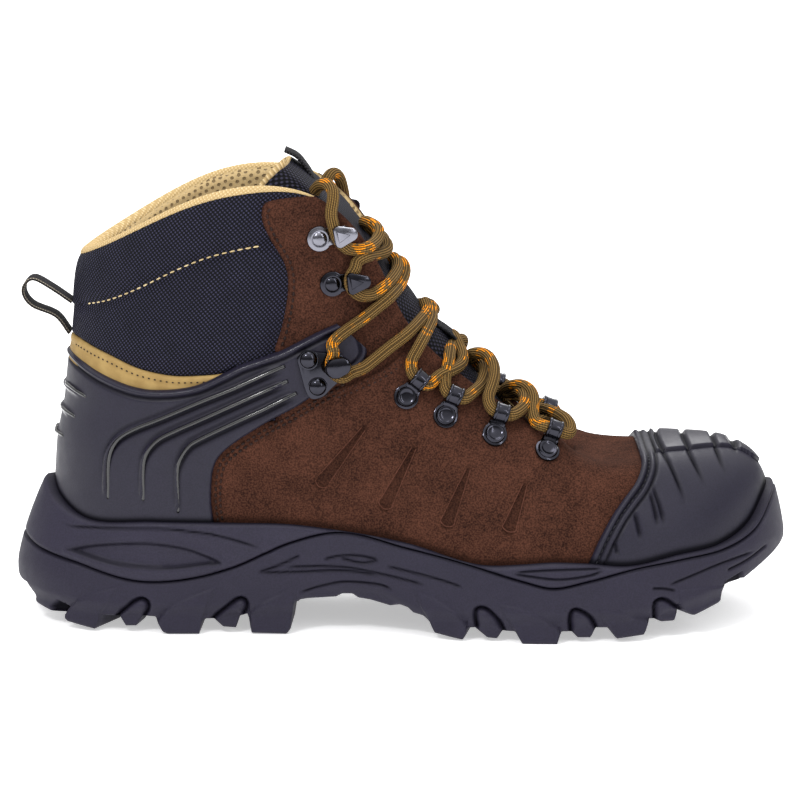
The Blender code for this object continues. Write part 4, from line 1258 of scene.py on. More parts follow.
def build_cloth():
    """The padded ankle and collar of woven cloth, drawn in along its line of stitches."""
    places = places_of(CLOTH_PANEL)
    start = collar_roll(places)[1]
    length = wall_length(places)
    low = np.full_like(places, 0.30)

    def keep(spots, place, share):
        return inside(spots, CLOTH) + 4.0

    def height(spots, place, share):
        edge = inside(spots, CLOTH)
        top = (np.interp(place, places, start) - share) * np.interp(place, places, length)
        far = to_line(spots, stitch_line)[0]
        back = hump(place - HEEL_PLACE, 0.07)
        pad = CLOTH_PUFF * swell(edge, 5.0) * swell(top, 4.0)
        above = smooth(2.0, -2.0, side_of(spots, stitch_line))
        raised = -0.9 + pad * (1.0 + 0.5 * above) - 1.7 * hump(far, 2.4) - 0.9 * back
        raised = raised - 1.8 * smooth(-1.5, 0.8, inside(spots, STRIP))
        # dark is painted shade along the stitch line; the cloth's material does not read it
        return raised, {"dark": hump(far, 1.2)}

    panel = patch("padded_collar", CLOTH_PANEL, low, start, keep, height, TEXTILE)


def build_strip():
    """The tan strip between the cloth and the heel counter, with a pressed line along its top."""
    places = places_of(STRIP_PANEL)

    def keep(spots, place, share):
        return np.minimum(inside(spots, STRIP), 4.0 - inside(spots, COUNTER))

    def height(spots, place, share):
        edge = inside(spots, STRIP)
        far = to_line(spots, strip_top - (0.0, 3.4))[0]
        raised = 0.7 + roll_off(edge, 1.2, 0.7) + ridge(far, STRIP_GROOVE)
        # dark is painted shade in the pressed line; the tan material does not read it
        return raised, {"dark": hump(far, 0.8)}

    low = np.full_like(places, 0.42)
    high = np.full_like(places, 0.85)
    panel = patch("tan_strip", STRIP_PANEL, low, high, keep, height, TAN)


# Heel counter: ribs as pixels of the photograph

RIBS = [
    [(285, 366), (270, 372), (250, 381), (230, 390), (200, 402), (160, 419), (137, 428), (120, 438),
     (111, 452), (108, 470), (108, 499)],
    [(288, 381), (260, 393), (240, 402), (200, 420), (175, 431), (158, 440), (147, 453), (143, 470),
     (143, 501)],
    [(297, 393), (280, 401), (260, 411), (240, 420), (200, 439), (188, 447), (180, 460), (177, 475),
     (178, 513)],
]
RIB_RADIUS = 0.8
BACK_RIBS = [[(60, 380), (84, 397)], [(54, 402), (73, 417)], [(50, 424), (63, 436)]]


# At the very back of the heel the counter gets thinner, over these heights
HEEL_THINNER = 1.7
HEEL_THINNER_HEIGHTS = (70.0, 90.0)
ARM_END = (318, 352)


def heel_thinning(place, high):
    """How much thinner the counter is at the very back of the heel, near its top."""
    return HEEL_THINNER * hump(place - HEEL_PLACE, 1.0) * smooth(*HEEL_THINNER_HEIGHTS, high)


def build_counter():
    """The heel guard: a lip along its top, a slot round the arm's end and raised ribs in sunk lines."""
    places = places_of(COUNTER_PANEL)
    ribs = [curve(ON_GUARD.side(line)) for line in RIBS]
    back_ribs = [ON_GUARD.side(line) for line in BACK_RIBS]
    arm_end = ON_GUARD.side([ARM_END])[0, 0]

    def keep(spots, place, share):
        return inside(spots, COUNTER)

    def height(spots, place, share):
        edge = inside(spots, COUNTER)
        lip = to_line(spots, counter_top)[0]
        raised = GUARD - heel_thinning(place, spots[:, 1]) + roll_off(edge, 1.1, 1.2)
        raised += ridge(lip, LIP) + ridge(lip, LIP_GROOVE)
        # dark is painted shade: in the lip's groove, in the slot, beside each rib and along the sole's rim
        dark = 0.9 * hump(lip - 3.2, 0.8)
        gloss = 0.7 * hump(lip - 1.0, 0.8)
        slot = hump(edge - 2.6, 0.6) * smooth(arm_end, arm_end + 4.0, spots[:, 0])
        raised -= 1.0 * slot
        dark = np.maximum(dark, 0.8 * slot)
        for line in ribs:
            crest = bead(spots, line, 0.7, 0.06)
            below = bead(spots, line + (0.5, -1.7), 0.9, 0.1)
            above = bead(spots, line + (-0.5, 1.6), 0.8, 0.1)
            raised = raised + 1.25 * crest - 0.55 * below - 0.35 * above
            gloss = np.maximum(gloss, crest)
            dark = np.maximum(dark, (0.9 * below + 0.4 * above) * (1.0 - crest))
        for line in back_ribs:
            crest = bead(spots, line, 1.1, 0.2)
            raised = raised + 1.1 * crest
            gloss = np.maximum(gloss, crest)
        dark = np.maximum(dark, painted_sole_shadow(spots, place))
        return raised, {"dark": dark, "gloss": gloss}

    low = rim_share(places, GUARD_BELOW_RIM)
    high = np.maximum(np.full_like(places, 0.72), low + 0.1)
    guard = patch("heel_counter_guard", COUNTER_PANEL, low, high, keep, height, CAP_RUBBER)
    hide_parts("heel_counter")


def build_ribs():
    """Polished crests of the heel counter's ribs, on both sides."""
    shapes = []
    for line in RIBS + BACK_RIBS:
        spots = ON_GUARD.at(curve(np.array(line, float), 5))
        for side in both_sides(spots):
            along = np.linspace(0.0, 1.0, len(side))
            thinner = heel_thinning(side[:, 0], form(side[:, 0], side[:, 1])[:, 2])
            sunk = 1.3 * smooth(0.65, 1.0, along) + 0.8 * smooth(0.12, 0.0, along)
            path = even(on_form(side[:, 0], side[:, 1], GUARD + 0.65 - sunk - thinner), 1.4)
            shapes.append(tube(path, RIB_RADIUS, 10)[:2])
    points, faces = joined(shapes)
    piece = make("counter_rib_crests", points, faces, GLOSS_RUBBER, points[:, [0, 2]])
    turn_out(piece)


def build_mark_edges():
    """Thin raised edges of the marks pressed into the suede, in a paler copy of the suede that is a painted
    highlight.
    """
    shapes = []
    for (top_x, top_y), (foot_x, foot_y) in TEARDROPS:
        way = np.array([foot_x - top_x, foot_y - top_y], float)
        across = np.array([-way[1], way[0]]) / np.linalg.norm(way)
        start = np.array([top_x, top_y], float)
        near = [start + way * t + across * (1.5 + 5.5 * t) for t in (0.15, 0.3, 0.6, 0.9, 1.0)]
        far = [start + way * t - across * (1.5 + 5.5 * t) for t in (1.0, 0.9, 0.6, 0.3, 0.15)]
        spots = ON_UPPER.at(curve(np.array(near + [start + 1.05 * way] + far), 5))
        for side in both_sides(spots):
            path = even(on_form(side[:, 0], side[:, 1], np.full(len(side), 0.2)), 0.9)
            shapes.append(tube(path, 0.24, 6)[:2])
    points, faces = joined(shapes)
    piece = make("pressed_mark_edges", points, faces, SUEDE_EDGE, points[:, [0, 2]])
    turn_out(piece)


# Toe cap: grooves as pixels of the photograph

BLOCK_GROOVES = [
    [(644, 440), (650, 443), (656, 448), (660, 455), (668, 469), (675, 484), (681, 500), (684, 512)],
    [(667, 438), (675, 440), (682, 446), (686, 453), (691, 466), (697, 479), (704, 496)],
    [(693, 436), (700, 438), (707, 443), (711, 450), (715, 463), (719, 476), (723, 486)],
    [(722, 439), (729, 442), (734, 447), (737, 455), (742, 468)],
]
BLOCK_FOOT = [(645, 452), (656, 451), (678, 449), (706, 448), (729, 451), (742, 456), (752, 462), (761, 468)]
SIDE_GROOVES = [[(650, 486), (655, 500), (659, 512), (663, 529)], [(647, 492), (652, 507), (657, 530)],
                [(632, 511), (636, 525), (640, 543)], [(613, 540), (617, 557)]]


def build_cap():
    """The toe guard: two bands along its rear edge, blocks on its top and grooves on its side."""
    places = places_of(CAP_PANEL)
    grooves = []
    for row in BLOCK_GROOVES:
        line = curve(ON_GUARD.side(row))
        grooves.append(outline([line[0] + 4.0 * (line[0] - line[4])], line))
    foot = curve(ON_GUARD.at(BLOCK_FOOT))
    foot = foot[np.argsort(foot[:, 0])]
    sides = [curve(ON_GUARD.side(line)) for line in SIDE_GROOVES]

    def keep(spots, place, share):
        return inside(spots, CAP)

    def height(spots, place, share):
        edge = inside(spots, CAP)
        raised = GUARD - 0.3 + roll_off(edge, 0.9, 1.0)
        band = sum(ridge(edge, row) for row in CAP_BANDS)
        groove = sum(ridge(edge, row) for row in CAP_GROOVES)
        raised = raised + (band - 0.7 * groove) * smooth(0.82, 0.62, share)
        raised = raised + 2.3 * smooth(110.0, 134.0, spots[:, 0]) * smooth(0.1, 0.45, share)
        # dark is painted shade: in the bands' grooves, along the blocks' foot, in the block and side grooves
        # and along the sole's rim
        dark = 0.95 * np.clip(groove, 0.0, 1.0)
        past = smooth(5.3, 6.6, edge)
        from_toe = np.abs((place + HEEL_PLACE) % LOOP - HEEL_PLACE)
        over = share - np.interp(from_toe, foot[:, 0], foot[:, 1])
        over = over * wall_length(place % LOOP)
        block = smooth(-0.3, 1.1, over) * past
        raised = raised + 1.3 * block
        foot_line = hump(over + 0.3, 0.9) * past
        raised = raised - 0.25 * foot_line
        dark = np.maximum(dark, 0.6 * foot_line)
        for line in grooves:
            far, along = to_line(spots, line)
            cut = hump(far, 0.8) * smooth(1.0, 0.65, along) * past
            raised = raised - (0.9 + 1.0 * block) * cut
            dark = np.maximum(dark, cut)
        for line in sides:
            cut = bead(spots, line, 0.75, 0.3) * smooth(4.5, 6.0, edge)
            raised = raised - 1.1 * cut
            dark = np.maximum(dark, 0.9 * cut)
        dark = np.maximum(dark, painted_sole_shadow(spots, place))
        return raised, {"dark": dark, "gloss": 0.3 * block}

    low = rim_share(places, GUARD_BELOW_RIM)
    cap = patch("toe_cap_guard", CAP_PANEL, low, np.full_like(places, 0.97), keep, height, CAP_RUBBER)
    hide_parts("toe_cap")


# Tongue, insole and tapes

# How far the sides of the tongue's last fold line and of each top row turn in, and how far the corners of
# the top rows are cut
TONGUE_CURL = (3.0, 8.0, 12.0, 13.0)
TONGUE_CORNER = (0.5, 2.5, 5.5)
MEASURED_ROW = 40


def tongue_grid():
    """Outer face of the tongue as rows from its front end to its top."""
    nose = np.linspace(NOSE_SPREAD, -NOSE_SPREAD, 2 * len(TUCK) + len(BRIDGE))
    rows = [on_form(nose, NOSE_SHARE, np.full(len(nose), -WALL - GAP - NOSE_DEEPER))]
    thick = [NOSE_THICK]
    for fold in TONGUE:
        near = [throat_side(fold.place, tuck * fold.tucked) for tuck in TUCK]
        far = [throat_side(LOOP - fold.place, tuck * fold.tucked) for tuck in TUCK]
        start, start_way = near[-1]
        end, end_way = far[-1]
        pull = fold.crown * np.linalg.norm(end - start)
        row = [point for point, _ in near]
        for t in BRIDGE:
            straight = (1.0 - 3.0 * t**2 + 2.0 * t**3) * start + (3.0 * t**2 - 2.0 * t**3) * end
            crown = (t - 2.0 * t**2 + t**3) * start_way - (t**3 - t**2) * end_way
            row.append(straight + pull * crown)
        row += [point for point, _ in far[::-1]]
        rows.append(np.array(row))
        thick.append(fold.thick)
    last = rows[-1]
    across = np.linspace(-1.0, 1.0, len(last))[:, None]
    curl = across**2 * np.array([-1.0, 0.0, -0.35])
    rows[-1] = last + TONGUE_CURL[0] * curl
    corner = across**4 * np.array([0.0, 0.0, -1.0])
    for fold, turned_in, cut in zip(TONGUE_TOP, TONGUE_CURL[1:], TONGUE_CORNER):
        row = last * (1.0, fold.width, 1.0) + (-fold.back, 0.0, fold.up)
        rows.append(row + turned_in * curl + cut * corner)
        thick.append(fold.thick)
    return np.array(rows), np.array(thick)


def build_tongue():
    rows, thick = tongue_grid()
    fine = curve(rows.reshape(len(rows), -1), 8).reshape(-1, *rows.shape[1:])
    deep = curve(thick[:, None], 8)[:, 0]
    outer = np.stack([curve(row, 6) for row in fine])
    count = outer.shape[1]
    normal = unit(np.cross(np.gradient(outer, axis=1), np.gradient(outer, axis=0)))
    normal *= np.sign(normal[30, count // 2, 2])
    across = np.linspace(-1.0, 1.0, count)
    puff = np.clip(1.0 - across**2, 0.0, 1.0)
    run = np.linspace(0.0, 1.0, len(outer))[:, None]
    folds = 0.5 * np.sin(run * 52.0 + 0.6 * np.sin(across * 4.0)) * puff
    folds = folds * smooth(0.1, 0.3, run) * smooth(0.85, 0.7, run)
    half = np.maximum(puff**0.5, 0.3) * deep[:, None] * 0.5
    middle = outer - normal * (0.5 * deep)[:, None, None]
    face = middle + normal * (half + folds)[..., None]
    back = middle - normal * half[..., None]
    along = run_of(outer[:, count // 2])
    over = run_of(outer[MEASURED_ROW])
    uv = np.stack(np.broadcast_arrays(over[None, :], along[:, None]), -1).reshape(-1, 2)
    quads = grid_faces(len(outer), count)
    size = len(outer) * count
    faces = quads[:, ::-1].tolist() + (quads + size).tolist()
    slots = [0] * len(quads) + [1] * len(quads)
    rim = rim_edges(quads[:, ::-1].tolist())
    faces += [[b, a, a + size, b + size] for a, b in rim]
    slots += [2] * len(rim)
    points = np.concatenate([face.reshape(-1, 3), back.reshape(-1, 3)])
    looks = [TONGUE_CLOTH, LINING, BINDING]
    tongue = make("padded_tongue", points, faces, looks, np.concatenate([uv, uv]), None, slots)
    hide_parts("tongue")
    return tongue


PULL_LINE = [(-129.6, 126.0), (-137.5, 131.5), (-144.5, 135.3), (-148.2, 133.0), (-148.6, 128.9),
             (-145.1, 124.5), (-136.1, 120.5), (-130.8, 113.5)]
TAB = [(316, 186), (312, 175), (305, 164), (297, 155), (285, 149)]
TAB_LINE = [on_plane(pixel, 0.5)[[0, 2]] for pixel in TAB]


BAND_SIDES = 8
TAPE_STEP = 0.8


def band_shape(line, half, thick, flat, soft, middle=0.0):
    """A band along a line in the plane of the first and third axes. half is half its width, flat the share
    of it that has the full thickness, and soft half the share of the thickness that its edges have."""
    line = np.asarray(line, float)
    section = [(-1.0, soft), (-flat, 0.5), (flat, 0.5), (1.0, soft)]
    section += [(-w, -t) for w, t in section]
    rings = []
    for (x, z), (out_x, out_z), wide in zip(line, sideways(line), np.broadcast_to(half, len(line))):
        rings.append([(x + out_x * thick * t, middle + wide * w, z + out_z * thick * t) for w, t in section])
    return np.concatenate(rings), closed_faces(BAND_SIDES, len(line))


def build_tape(name, node, line, half_width, middle, thick, looks):
    """A woven tape that follows a line seen from the side, with looks for its face and its edges."""
    line = even(curve(line), TAPE_STEP)
    points, faces = band_shape(line, half_width, thick, 0.9, 0.25, middle)
    run = np.repeat(np.arange(len(line)) * TAPE_STEP, BAND_SIDES)
    slots = [1 - i % 2 for i in range(len(faces) - 2)] + [0, 0]
    tape = make(name, points, faces, looks, np.stack([run, points[:, 1] - middle], 1), None, slots)
    if node:
        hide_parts(node)


INSOLE_ROUND = 240
INSOLE_THICK = 5.0
INSOLE_EDGE = [(GAP, 1.0), (1.0, 0.3), (2.5, 0.0), (4.0, 0.1), (4.8, 0.8), (INSOLE_THICK, 2.4)]


def build_insole():
    """The footbed: rows of rise and tuck round its edge, then rings towards its middle line."""
    places = np.arange(INSOLE_ROUND) * LOOP / INSOLE_ROUND
    seat = footbed(form(places, 0.0)[:, 0])
    rings = []
    for rise, tuck in INSOLE_EDGE:
        share = share_at(places, seat + max(rise, 0.6))
        ring = on_form(places, share, np.full(INSOLE_ROUND, -WALL - 0.6 - tuck))
        ring[:, 2] = seat + rise
        rings.append(ring)
    edge = rings[-1]
    centre = edge * (1.0, 0.0, 1.0) + (0.0, 0.64, 0.0)
    for t in (0.25, 0.5, 0.75, 0.98):
        inner = edge * (1.0 - t) + centre * t
        inner[:, 2] = footbed(inner[:, 0]) + INSOLE_THICK - 1.2 * smooth(0.0, 0.8, t)
        rings.append(inner)
    faces = [face[::-1] for face in ring_faces(INSOLE_ROUND, len(rings))]
    points = np.concatenate(rings)
    insole = make("footbed", points, faces, LINING, points[:, :2])
    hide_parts("insole")


# Sole: lines of its side as pixels of the photograph

ALMOND = [
    (68, 549), (90, 545), (120, 543), (150, 543), (180, 547), (200, 553), (221, 563),
    (200, 566), (175, 569), (150, 569), (120, 566), (100, 561), (85, 556),
]
HEEL_EDGE = [(204, 529), (220, 537), (235, 544), (258, 551)]
ARCH_LINES = [[(258, 573), (280, 565), (301, 555)], [(258, 573), (300, 572), (345, 571), (380, 576)],
              [(283, 567), (340, 567), (380, 574), (405, 580), (428, 586)],
              [(385, 566), (410, 572), (440, 580), (464, 588)],
              [(322, 560), (340, 556), (360, 556), (379, 560)], [(340, 558), (362, 563), (379, 560)],
              [(298, 593), (330, 584), (350, 582), (380, 585), (394, 591)]]
TOE_LINES = [[(668, 586), (690, 577), (720, 564), (752, 550)], [(726, 571), (745, 560), (764, 543)],
             [(652, 589), (664, 589), (676, 591)]]
BALL_LINES = [
    [(511, 574), (530, 577), (560, 580), (590, 576), (605, 570)],
    [(514, 573), (545, 571), (575, 570), (604, 569)],
]
HEEL_LINES = [[(62, 520), (72, 526), (100, 528), (156, 529), (190, 532), (223, 537), (264, 549)]]
SMALL_LUG_ARCHES = [[(115, 617), (124, 609), (133, 602), (141, 599), (147, 602), (148, 608), (143, 617)],
                    [(211, 620), (225, 608), (238, 599), (245, 600), (247, 606), (243, 615)],
                    [(477, 629), (475, 616), (476, 610), (482, 608), (490, 612), (498, 620), (505, 632)],
                    [(571, 633), (570, 618), (573, 611), (580, 611), (590, 617), (597, 629)],
                    [(655, 620), (655, 605), (660, 600), (668, 601), (681, 609)]]
FACETS = [[(64, 614), (78, 600), (98, 592), (119, 587), (110, 600), (102, 613), (98, 630), (66, 622)],
          [(156, 622), (168, 608), (190, 597), (217, 587), (209, 600), (203, 617), (201, 635), (162, 635)],
          [(250, 612), (262, 603), (280, 594), (298, 585), (295, 600), (290, 635), (251, 635)],
          [(415, 591), (435, 599), (455, 612), (469, 627), (465, 641), (434, 634), (429, 620), (420, 605)],
          [(497, 604), (520, 608), (545, 619), (562, 631), (558, 646), (522, 646), (515, 630), (504, 614)],
          [(598, 611), (620, 612), (637, 618), (649, 620), (644, 636), (615, 640), (608, 628)],
          [(678, 590), (700, 588), (723, 586), (719, 604), (694, 617), (681, 609)]]
HOLLOWS = [
    [(24, 588), (34, 591), (36, 598), (26, 594)],
    [(50, 606), (58, 600), (70, 606), (68, 613), (52, 612)],
    [(722, 587), (728, 580), (742, 571), (744, 580), (730, 586)],
]
LUG_PROFILE = [
    (19, 580), (22, 586), (27, 592), (35, 597), (36, 603), (50, 611), (67, 612),
    (68, 620), (96, 628), (99, 625), (101, 615), (119, 616), (125, 626), (136, 626), (142, 616),
    (155, 617), (163, 631), (168, 633), (200, 633), (202, 622), (206, 619), (214, 619), (223, 627),
    (236, 628), (240, 616), (248, 614), (251, 632), (287, 633), (291, 628), (294, 604), (300, 600),
    (320, 598), (336, 597), (342, 594), (352, 594), (358, 598), (370, 600), (390, 606), (400, 605),
    (408, 608), (413, 613), (423, 616), (430, 623), (435, 632), (450, 636), (463, 639), (466, 635),
    (468, 628), (475, 628), (487, 638), (497, 639), (502, 631), (515, 632), (523, 644), (557, 644),
    (561, 632), (572, 632), (578, 638), (591, 638), (596, 628), (608, 628), (616, 638), (643, 634),
    (647, 628), (649, 619), (655, 619), (662, 622), (675, 621), (678, 610), (692, 615), (718, 602),
    (721, 597), (722, 587), (742, 580), (760, 563), (770, 552), (778, 538),
]


def sole_detail(spots):
    """How far the sole's side stands out, from its lines, recess and facets, and how dark it is: painted
    shade in its lines, recess, arches and hollows.
    """
    toe = smooth(118.0, 142.0, spots[:, 0]) * smooth(20.0, 34.0, spots[:, 1])
    heel = smooth(-122.0, -142.0, spots[:, 0]) * smooth(8.0, 24.0, spots[:, 1])
    raised = 2.0 * toe + 1.6 * heel
    ring = inside(spots, SOLE_ALMOND)
    sunk = smooth(-0.1, 1.4, ring)
    ribbing = 0.14 * np.sin(spots[:, 1] * 4.2) * smooth(1.6, 3.0, ring)
    raised += -1.5 * sunk + ribbing + 0.45 * hump(ring + 1.0, 0.8)
    dark = 0.8 * hump(ring - 0.5, 0.7)
    step = side_of(spots, SOLE_EDGE_LINE)
    near = hump(step, 6.0) * smooth(0.0, 0.25, to_line(spots, SOLE_EDGE_LINE)[1])
    raised += 0.6 * smooth(0.4, -0.4, step) * near
    for line in SOLE_LINES:
        cut = bead(spots, line, 0.55, 0.1)
        raised -= 0.8 * cut
        dark = np.maximum(dark, 0.9 * cut)
    for corners in SOLE_FACETS:
        d = inside(spots, corners)
        tall = np.ptp(corners[:, 1]) + 1e-6
        slope = 1.0 - 0.8 * (spots[:, 1] - corners[:, 1].min()) / tall
        raised += 2.0 * smooth(-0.3, 0.6, d) * np.clip(slope, 0.2, 1.0)
    for line in SOLE_ARCHES:
        whole = np.concatenate([line, line[:1]])
        d = inside(spots, whole)
        cut = bead(spots, line, 0.75, 0.04)
        raised += 1.1 * smooth(0.2, 3.0, d) - 1.9 * cut
        dark = np.maximum(dark, cut)
    for corners in SOLE_HOLLOWS:
        cut = smooth(-0.3, 0.8, inside(spots, corners))
        raised -= 2.2 * cut
        dark = np.maximum(dark, cut)
    return raised, dark


SOLE_ALMOND = curve(ON_SOLE.side(ALMOND + ALMOND[:1]))
SOLE_EDGE_LINE = curve(ON_SOLE.side(HEEL_EDGE))
SOLE_LINES = [curve(ON_SOLE.side(line)) for line in ARCH_LINES + TOE_LINES + BALL_LINES + HEEL_LINES]
SOLE_ARCHES = [curve(ON_SOLE.side(line)) for line in SMALL_LUG_ARCHES]
SOLE_FACETS = [ON_SOLE.side(corners) for corners in FACETS]
SOLE_HOLLOWS = [ON_SOLE.side(corners) for corners in HOLLOWS]
SOLE_FOOT = ON_SOLE.side(LUG_PROFILE)
SOLE_ROUND = 1240
SOLE_PLACES = np.arange(SOLE_ROUND) * LOOP / SOLE_ROUND


def sole_foot(x):
    """Height of the sole's lower edge, which runs down round each lug."""
    return np.maximum(np.interp(x, SOLE_FOOT[:, 0], SOLE_FOOT[:, 1]), 0.0)


def lug_reach(x):
    """How far in from the edge the lugs reach."""
    reach = np.full(np.shape(x), 12.0)
    for row in LUGS:
        reach = np.where((x > row.back - 2.0) & (x < row.front + 2.0), row.reach, reach)
    return reach


def wall_ring(height, inset, detail=1.0):
    """A ring of the sole's side at a height for each place, with its raised and sunk detail."""
    ring = side_wall(SOLE_PLACES, height, inset)
    raised, dark = sole_detail(ring[:, [0, 2]])
    return ring + plan_out(SOLE_PLACES) * (raised * detail)[:, None], dark * detail


def sole_heights():
    """Heights round the sole of its underside, of the outsole's floor and of its wave edge."""
    under = base(side_wall(SOLE_PLACES, base(form(SOLE_PLACES, 0.0)[:, 0]) + 3.0)[:, 0])
    wave = sole_column("wave", SOLE_PLACES)
    return under, under + PLATE, wave


def ladder(count, start):
    """Faces across a ring whose two sides run from toe to heel."""
    half = count // 2
    faces = [[start, start + 1, start + count - 1]]
    for i in range(1, half - 1):
        faces.append([start + i, start + i + 1, start + count - i - 1, start + count - i])
    faces.append([start + half - 1, start + half, start + half + 1])
    return faces


SOLE_CREASE = 40.0
METAL_CREASE = 38.0


def sole_piece(name, rings, marks, look, node):
    faces = ring_faces(SOLE_ROUND, len(rings))
    faces += [face[::-1] for face in ladder(SOLE_ROUND, 0)]
    faces += ladder(SOLE_ROUND, (len(rings) - 1) * SOLE_ROUND)
    points = np.concatenate(rings)
    piece = make(name, points, faces, look, points[:, [0, 2]], {"dark": np.concatenate(marks)})
    turn_out(piece)
    piece.data.set_sharp_from_angle(angle=math.radians(SOLE_CREASE))
    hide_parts(node)


def turn_out(piece):
    """Turns all faces of a closed piece outwards."""
    work = bmesh.new()
    work.from_mesh(piece.data)
    bmesh.ops.recalc_face_normals(work, faces=work.faces)
    work.to_mesh(piece.data)
    work.free()


# Outsole: insets of the rings under it, rows up each half of its wall, and its top edge as rise and inset
UNDER_INSETS = (26.0, 23.0, 21.0, 18.0, 14.0, 12.0, 10.0, 6.0, 3.0, 1.2)
WALL_ROWS = 26
WAVE_EDGE = ((-0.4, 0.25), (-0.1, 0.7), (0.0, 1.4), (-0.6, OUTSOLE_WALL))


def build_outsole():
    under, floor, wave = sole_heights()
    zero = np.zeros(SOLE_ROUND)
    edge_x = side_wall(SOLE_PLACES, under)[:, 0]
    foot = sole_foot(edge_x)
    reach = lug_reach(edge_x)
    rings = []
    # marks are painted shade: between the lugs underneath, in the side's lines and recesses, and along the
    # wave edge
    marks = []
    for inset in UNDER_INSETS:
        ring = side_wall(SOLE_PLACES, under, inset)
        lug = smooth(reach + 1.2, reach - 1.2, inset)
        ring[:, 2] = base(ring[:, 0]) + (foot - base(ring[:, 0])) * lug
        rings.append(ring)
        marks.append(0.5 * (1.0 - lug))
    middle = under + 9.0
    levels = [foot + (middle - foot) * t for t in np.linspace(0.0, 1.0, WALL_ROWS)]
    levels += [middle + (wave - 0.9 - middle) * t for t in np.linspace(0.0, 1.0, WALL_ROWS)[1:]]
    for height in levels:
        edge = 0.9 * np.clip(1.0 - (height - foot) / 1.2, 0.0, 1.0) ** 2
        ring, dark = wall_ring(height, edge)
        rings.append(ring)
        marks.append(dark)
    for rise, inset in WAVE_EDGE:
        rings.append(side_wall(SOLE_PLACES, wave + rise, inset))
        marks.append(zero + 0.6)
    rings.append(side_wall(SOLE_PLACES, np.maximum(floor, 0.5 * (floor + wave)), OUTSOLE_WALL))
    rings.append(side_wall(SOLE_PLACES, floor, OUTSOLE_WALL))
    marks += [zero + 0.6, zero + 0.6]
    sole_piece("lugged_outsole", rings, marks, SOLE_RUBBER, "outsole")


def build_midsole():
    _, floor, wave = sole_heights()
    zero = np.zeros(SOLE_ROUND)
    rim = sole_column("rim", SOLE_PLACES)
    rim_at = share_at(SOLE_PLACES, rim)
    clear = np.full(SOLE_ROUND, GAP)
    inner = OUTSOLE_WALL + GAP
    rings = [side_wall(SOLE_PLACES, floor + GAP, inner)]
    rings.append(side_wall(SOLE_PLACES, wave - 0.4, inner))
    rings.append(side_wall(SOLE_PLACES, wave + 0.2, 1.9))
    # marks are painted shade: along the wave groove, in the side's lines and recesses, along the rim and
    # inside the cup
    marks = [zero + 0.9, zero + 0.9, zero + 0.9]
    for t in np.linspace(0.0, 1.0, 28):
        height = wave + 0.5 + (rim - 0.4 - wave - 0.5) * t
        bottom = 1.2 * np.clip(1.0 - (height - wave) / 1.8, 0.0, 1.0) ** 2
        top = 1.0 * np.clip(1.0 - (rim - height) / 2.2, 0.0, 1.0) ** 2
        ring, dark = wall_ring(height, bottom + top)
        rings.append(ring)
        low_mark = 0.7 * np.clip(1.0 - (height - wave) / 1.5, 0.0, 1.0)
        top_mark = 0.6 * np.clip(1.0 - (rim - height) / 1.0, 0.0, 1.0)
        marks.append(np.maximum.reduce([dark, low_mark, top_mark]))
    for inset, drop in ((1.6, 0.0), (2.6, 0.1), (3.4, 0.5)):
        ring = side_wall(SOLE_PLACES, rim, inset)
        ring[:, 2] = rim - drop
        rings.append(ring)
        marks.append(zero + (0.95 if drop > 0.0 else 0.7))
    for share in (1.0, 0.66, 0.33, 0.0):
        ring = on_form(SOLE_PLACES, share * rim_at, clear)
        ring[:, 2] = np.minimum(ring[:, 2], rim - 1.0)
        rings.append(ring)
        marks.append(zero + 0.9)
    rings[-1][:, 2] = footbed(form(SOLE_PLACES, 0.0)[:, 0])
    sole_piece("cup_midsole", rings, marks, FOAM, "midsole")


def lug_shape(plan, taper, top_rise):
    """A lug from the ground up into the sole, drawn in towards the ground, with a softened foot."""
    plan = np.asarray(plan, float)
    centre = plan.mean(0)
    rings = []
    ground = tread(plan[:, 0])
    top = base(plan[:, 0]) + top_rise
    for t, size in ((0.0, taper - 0.07), (0.06, taper), (0.5, 0.5 * (1.0 + taper)), (0.85, 1.0), (1.0, 1.06)):
        spots = centre + (plan - centre) * size
        rings.append(np.column_stack([spots, ground + (top - ground) * t]))
    return np.concatenate(rings), closed_faces(len(plan), len(rings))


def build_lugs():
    """The chevron lugs down the middle of the tread."""
    shapes = []
    for x, length, width in MIDDLE_LUGS:
        half = 0.5 * length
        plan = [(x - half, -0.5 * width), (x + half, 0.0), (x - half, 0.5 * width),
                (x - 2.0 * half, 0.5 * width), (x - 0.6 * half, 0.0), (x - 2.0 * half, -0.5 * width)]
        shapes.append(lug_shape(plan, 0.86, 2.2))
    points, faces = joined(shapes)
    marks = {"dark": np.zeros(len(points))}
    lugs = make("tread_lugs", points, faces, SOLE_RUBBER, points[:, [0, 2]], marks, sharp=True)
    turn_out(lugs)
    bevel = lugs.modifiers.new("worn_edges", "BEVEL")
    bevel.width = 0.7 * MM
    bevel.segments = 2
    bevel.limit_method = "ANGLE"
    bevel.angle_limit = math.radians(SOLE_CREASE)


# Hardware

def turned(profile, sides=28):
    """A shape turned about its third axis from a profile of radius and height."""
    angle = np.arange(sides) * 2.0 * np.pi / sides
    rings = []
    for radius, high in profile:
        rings.append(np.stack([radius * np.cos(angle), radius * np.sin(angle), np.full(sides, high)], 1))
    return np.concatenate(rings), closed_faces(sides, len(rings))


def plate_shape(outline_points, low, high, soft):
    """A flat plate with a softened upper edge."""
    plan = np.asarray(outline_points, float)
    centre = plan.mean(0)
    size = np.linalg.norm(plan - centre, axis=1)[:, None]
    rings = []
    for inset, z in ((0.0, low), (0.0, high - soft), (0.3 * soft, high - 0.3 * soft), (soft, high)):
        spots = centre + (plan - centre) * (1.0 - inset / size)
        rings.append(np.column_stack([spots, np.full(len(plan), z)]))
    return np.concatenate(rings), closed_faces(len(plan), len(rings))


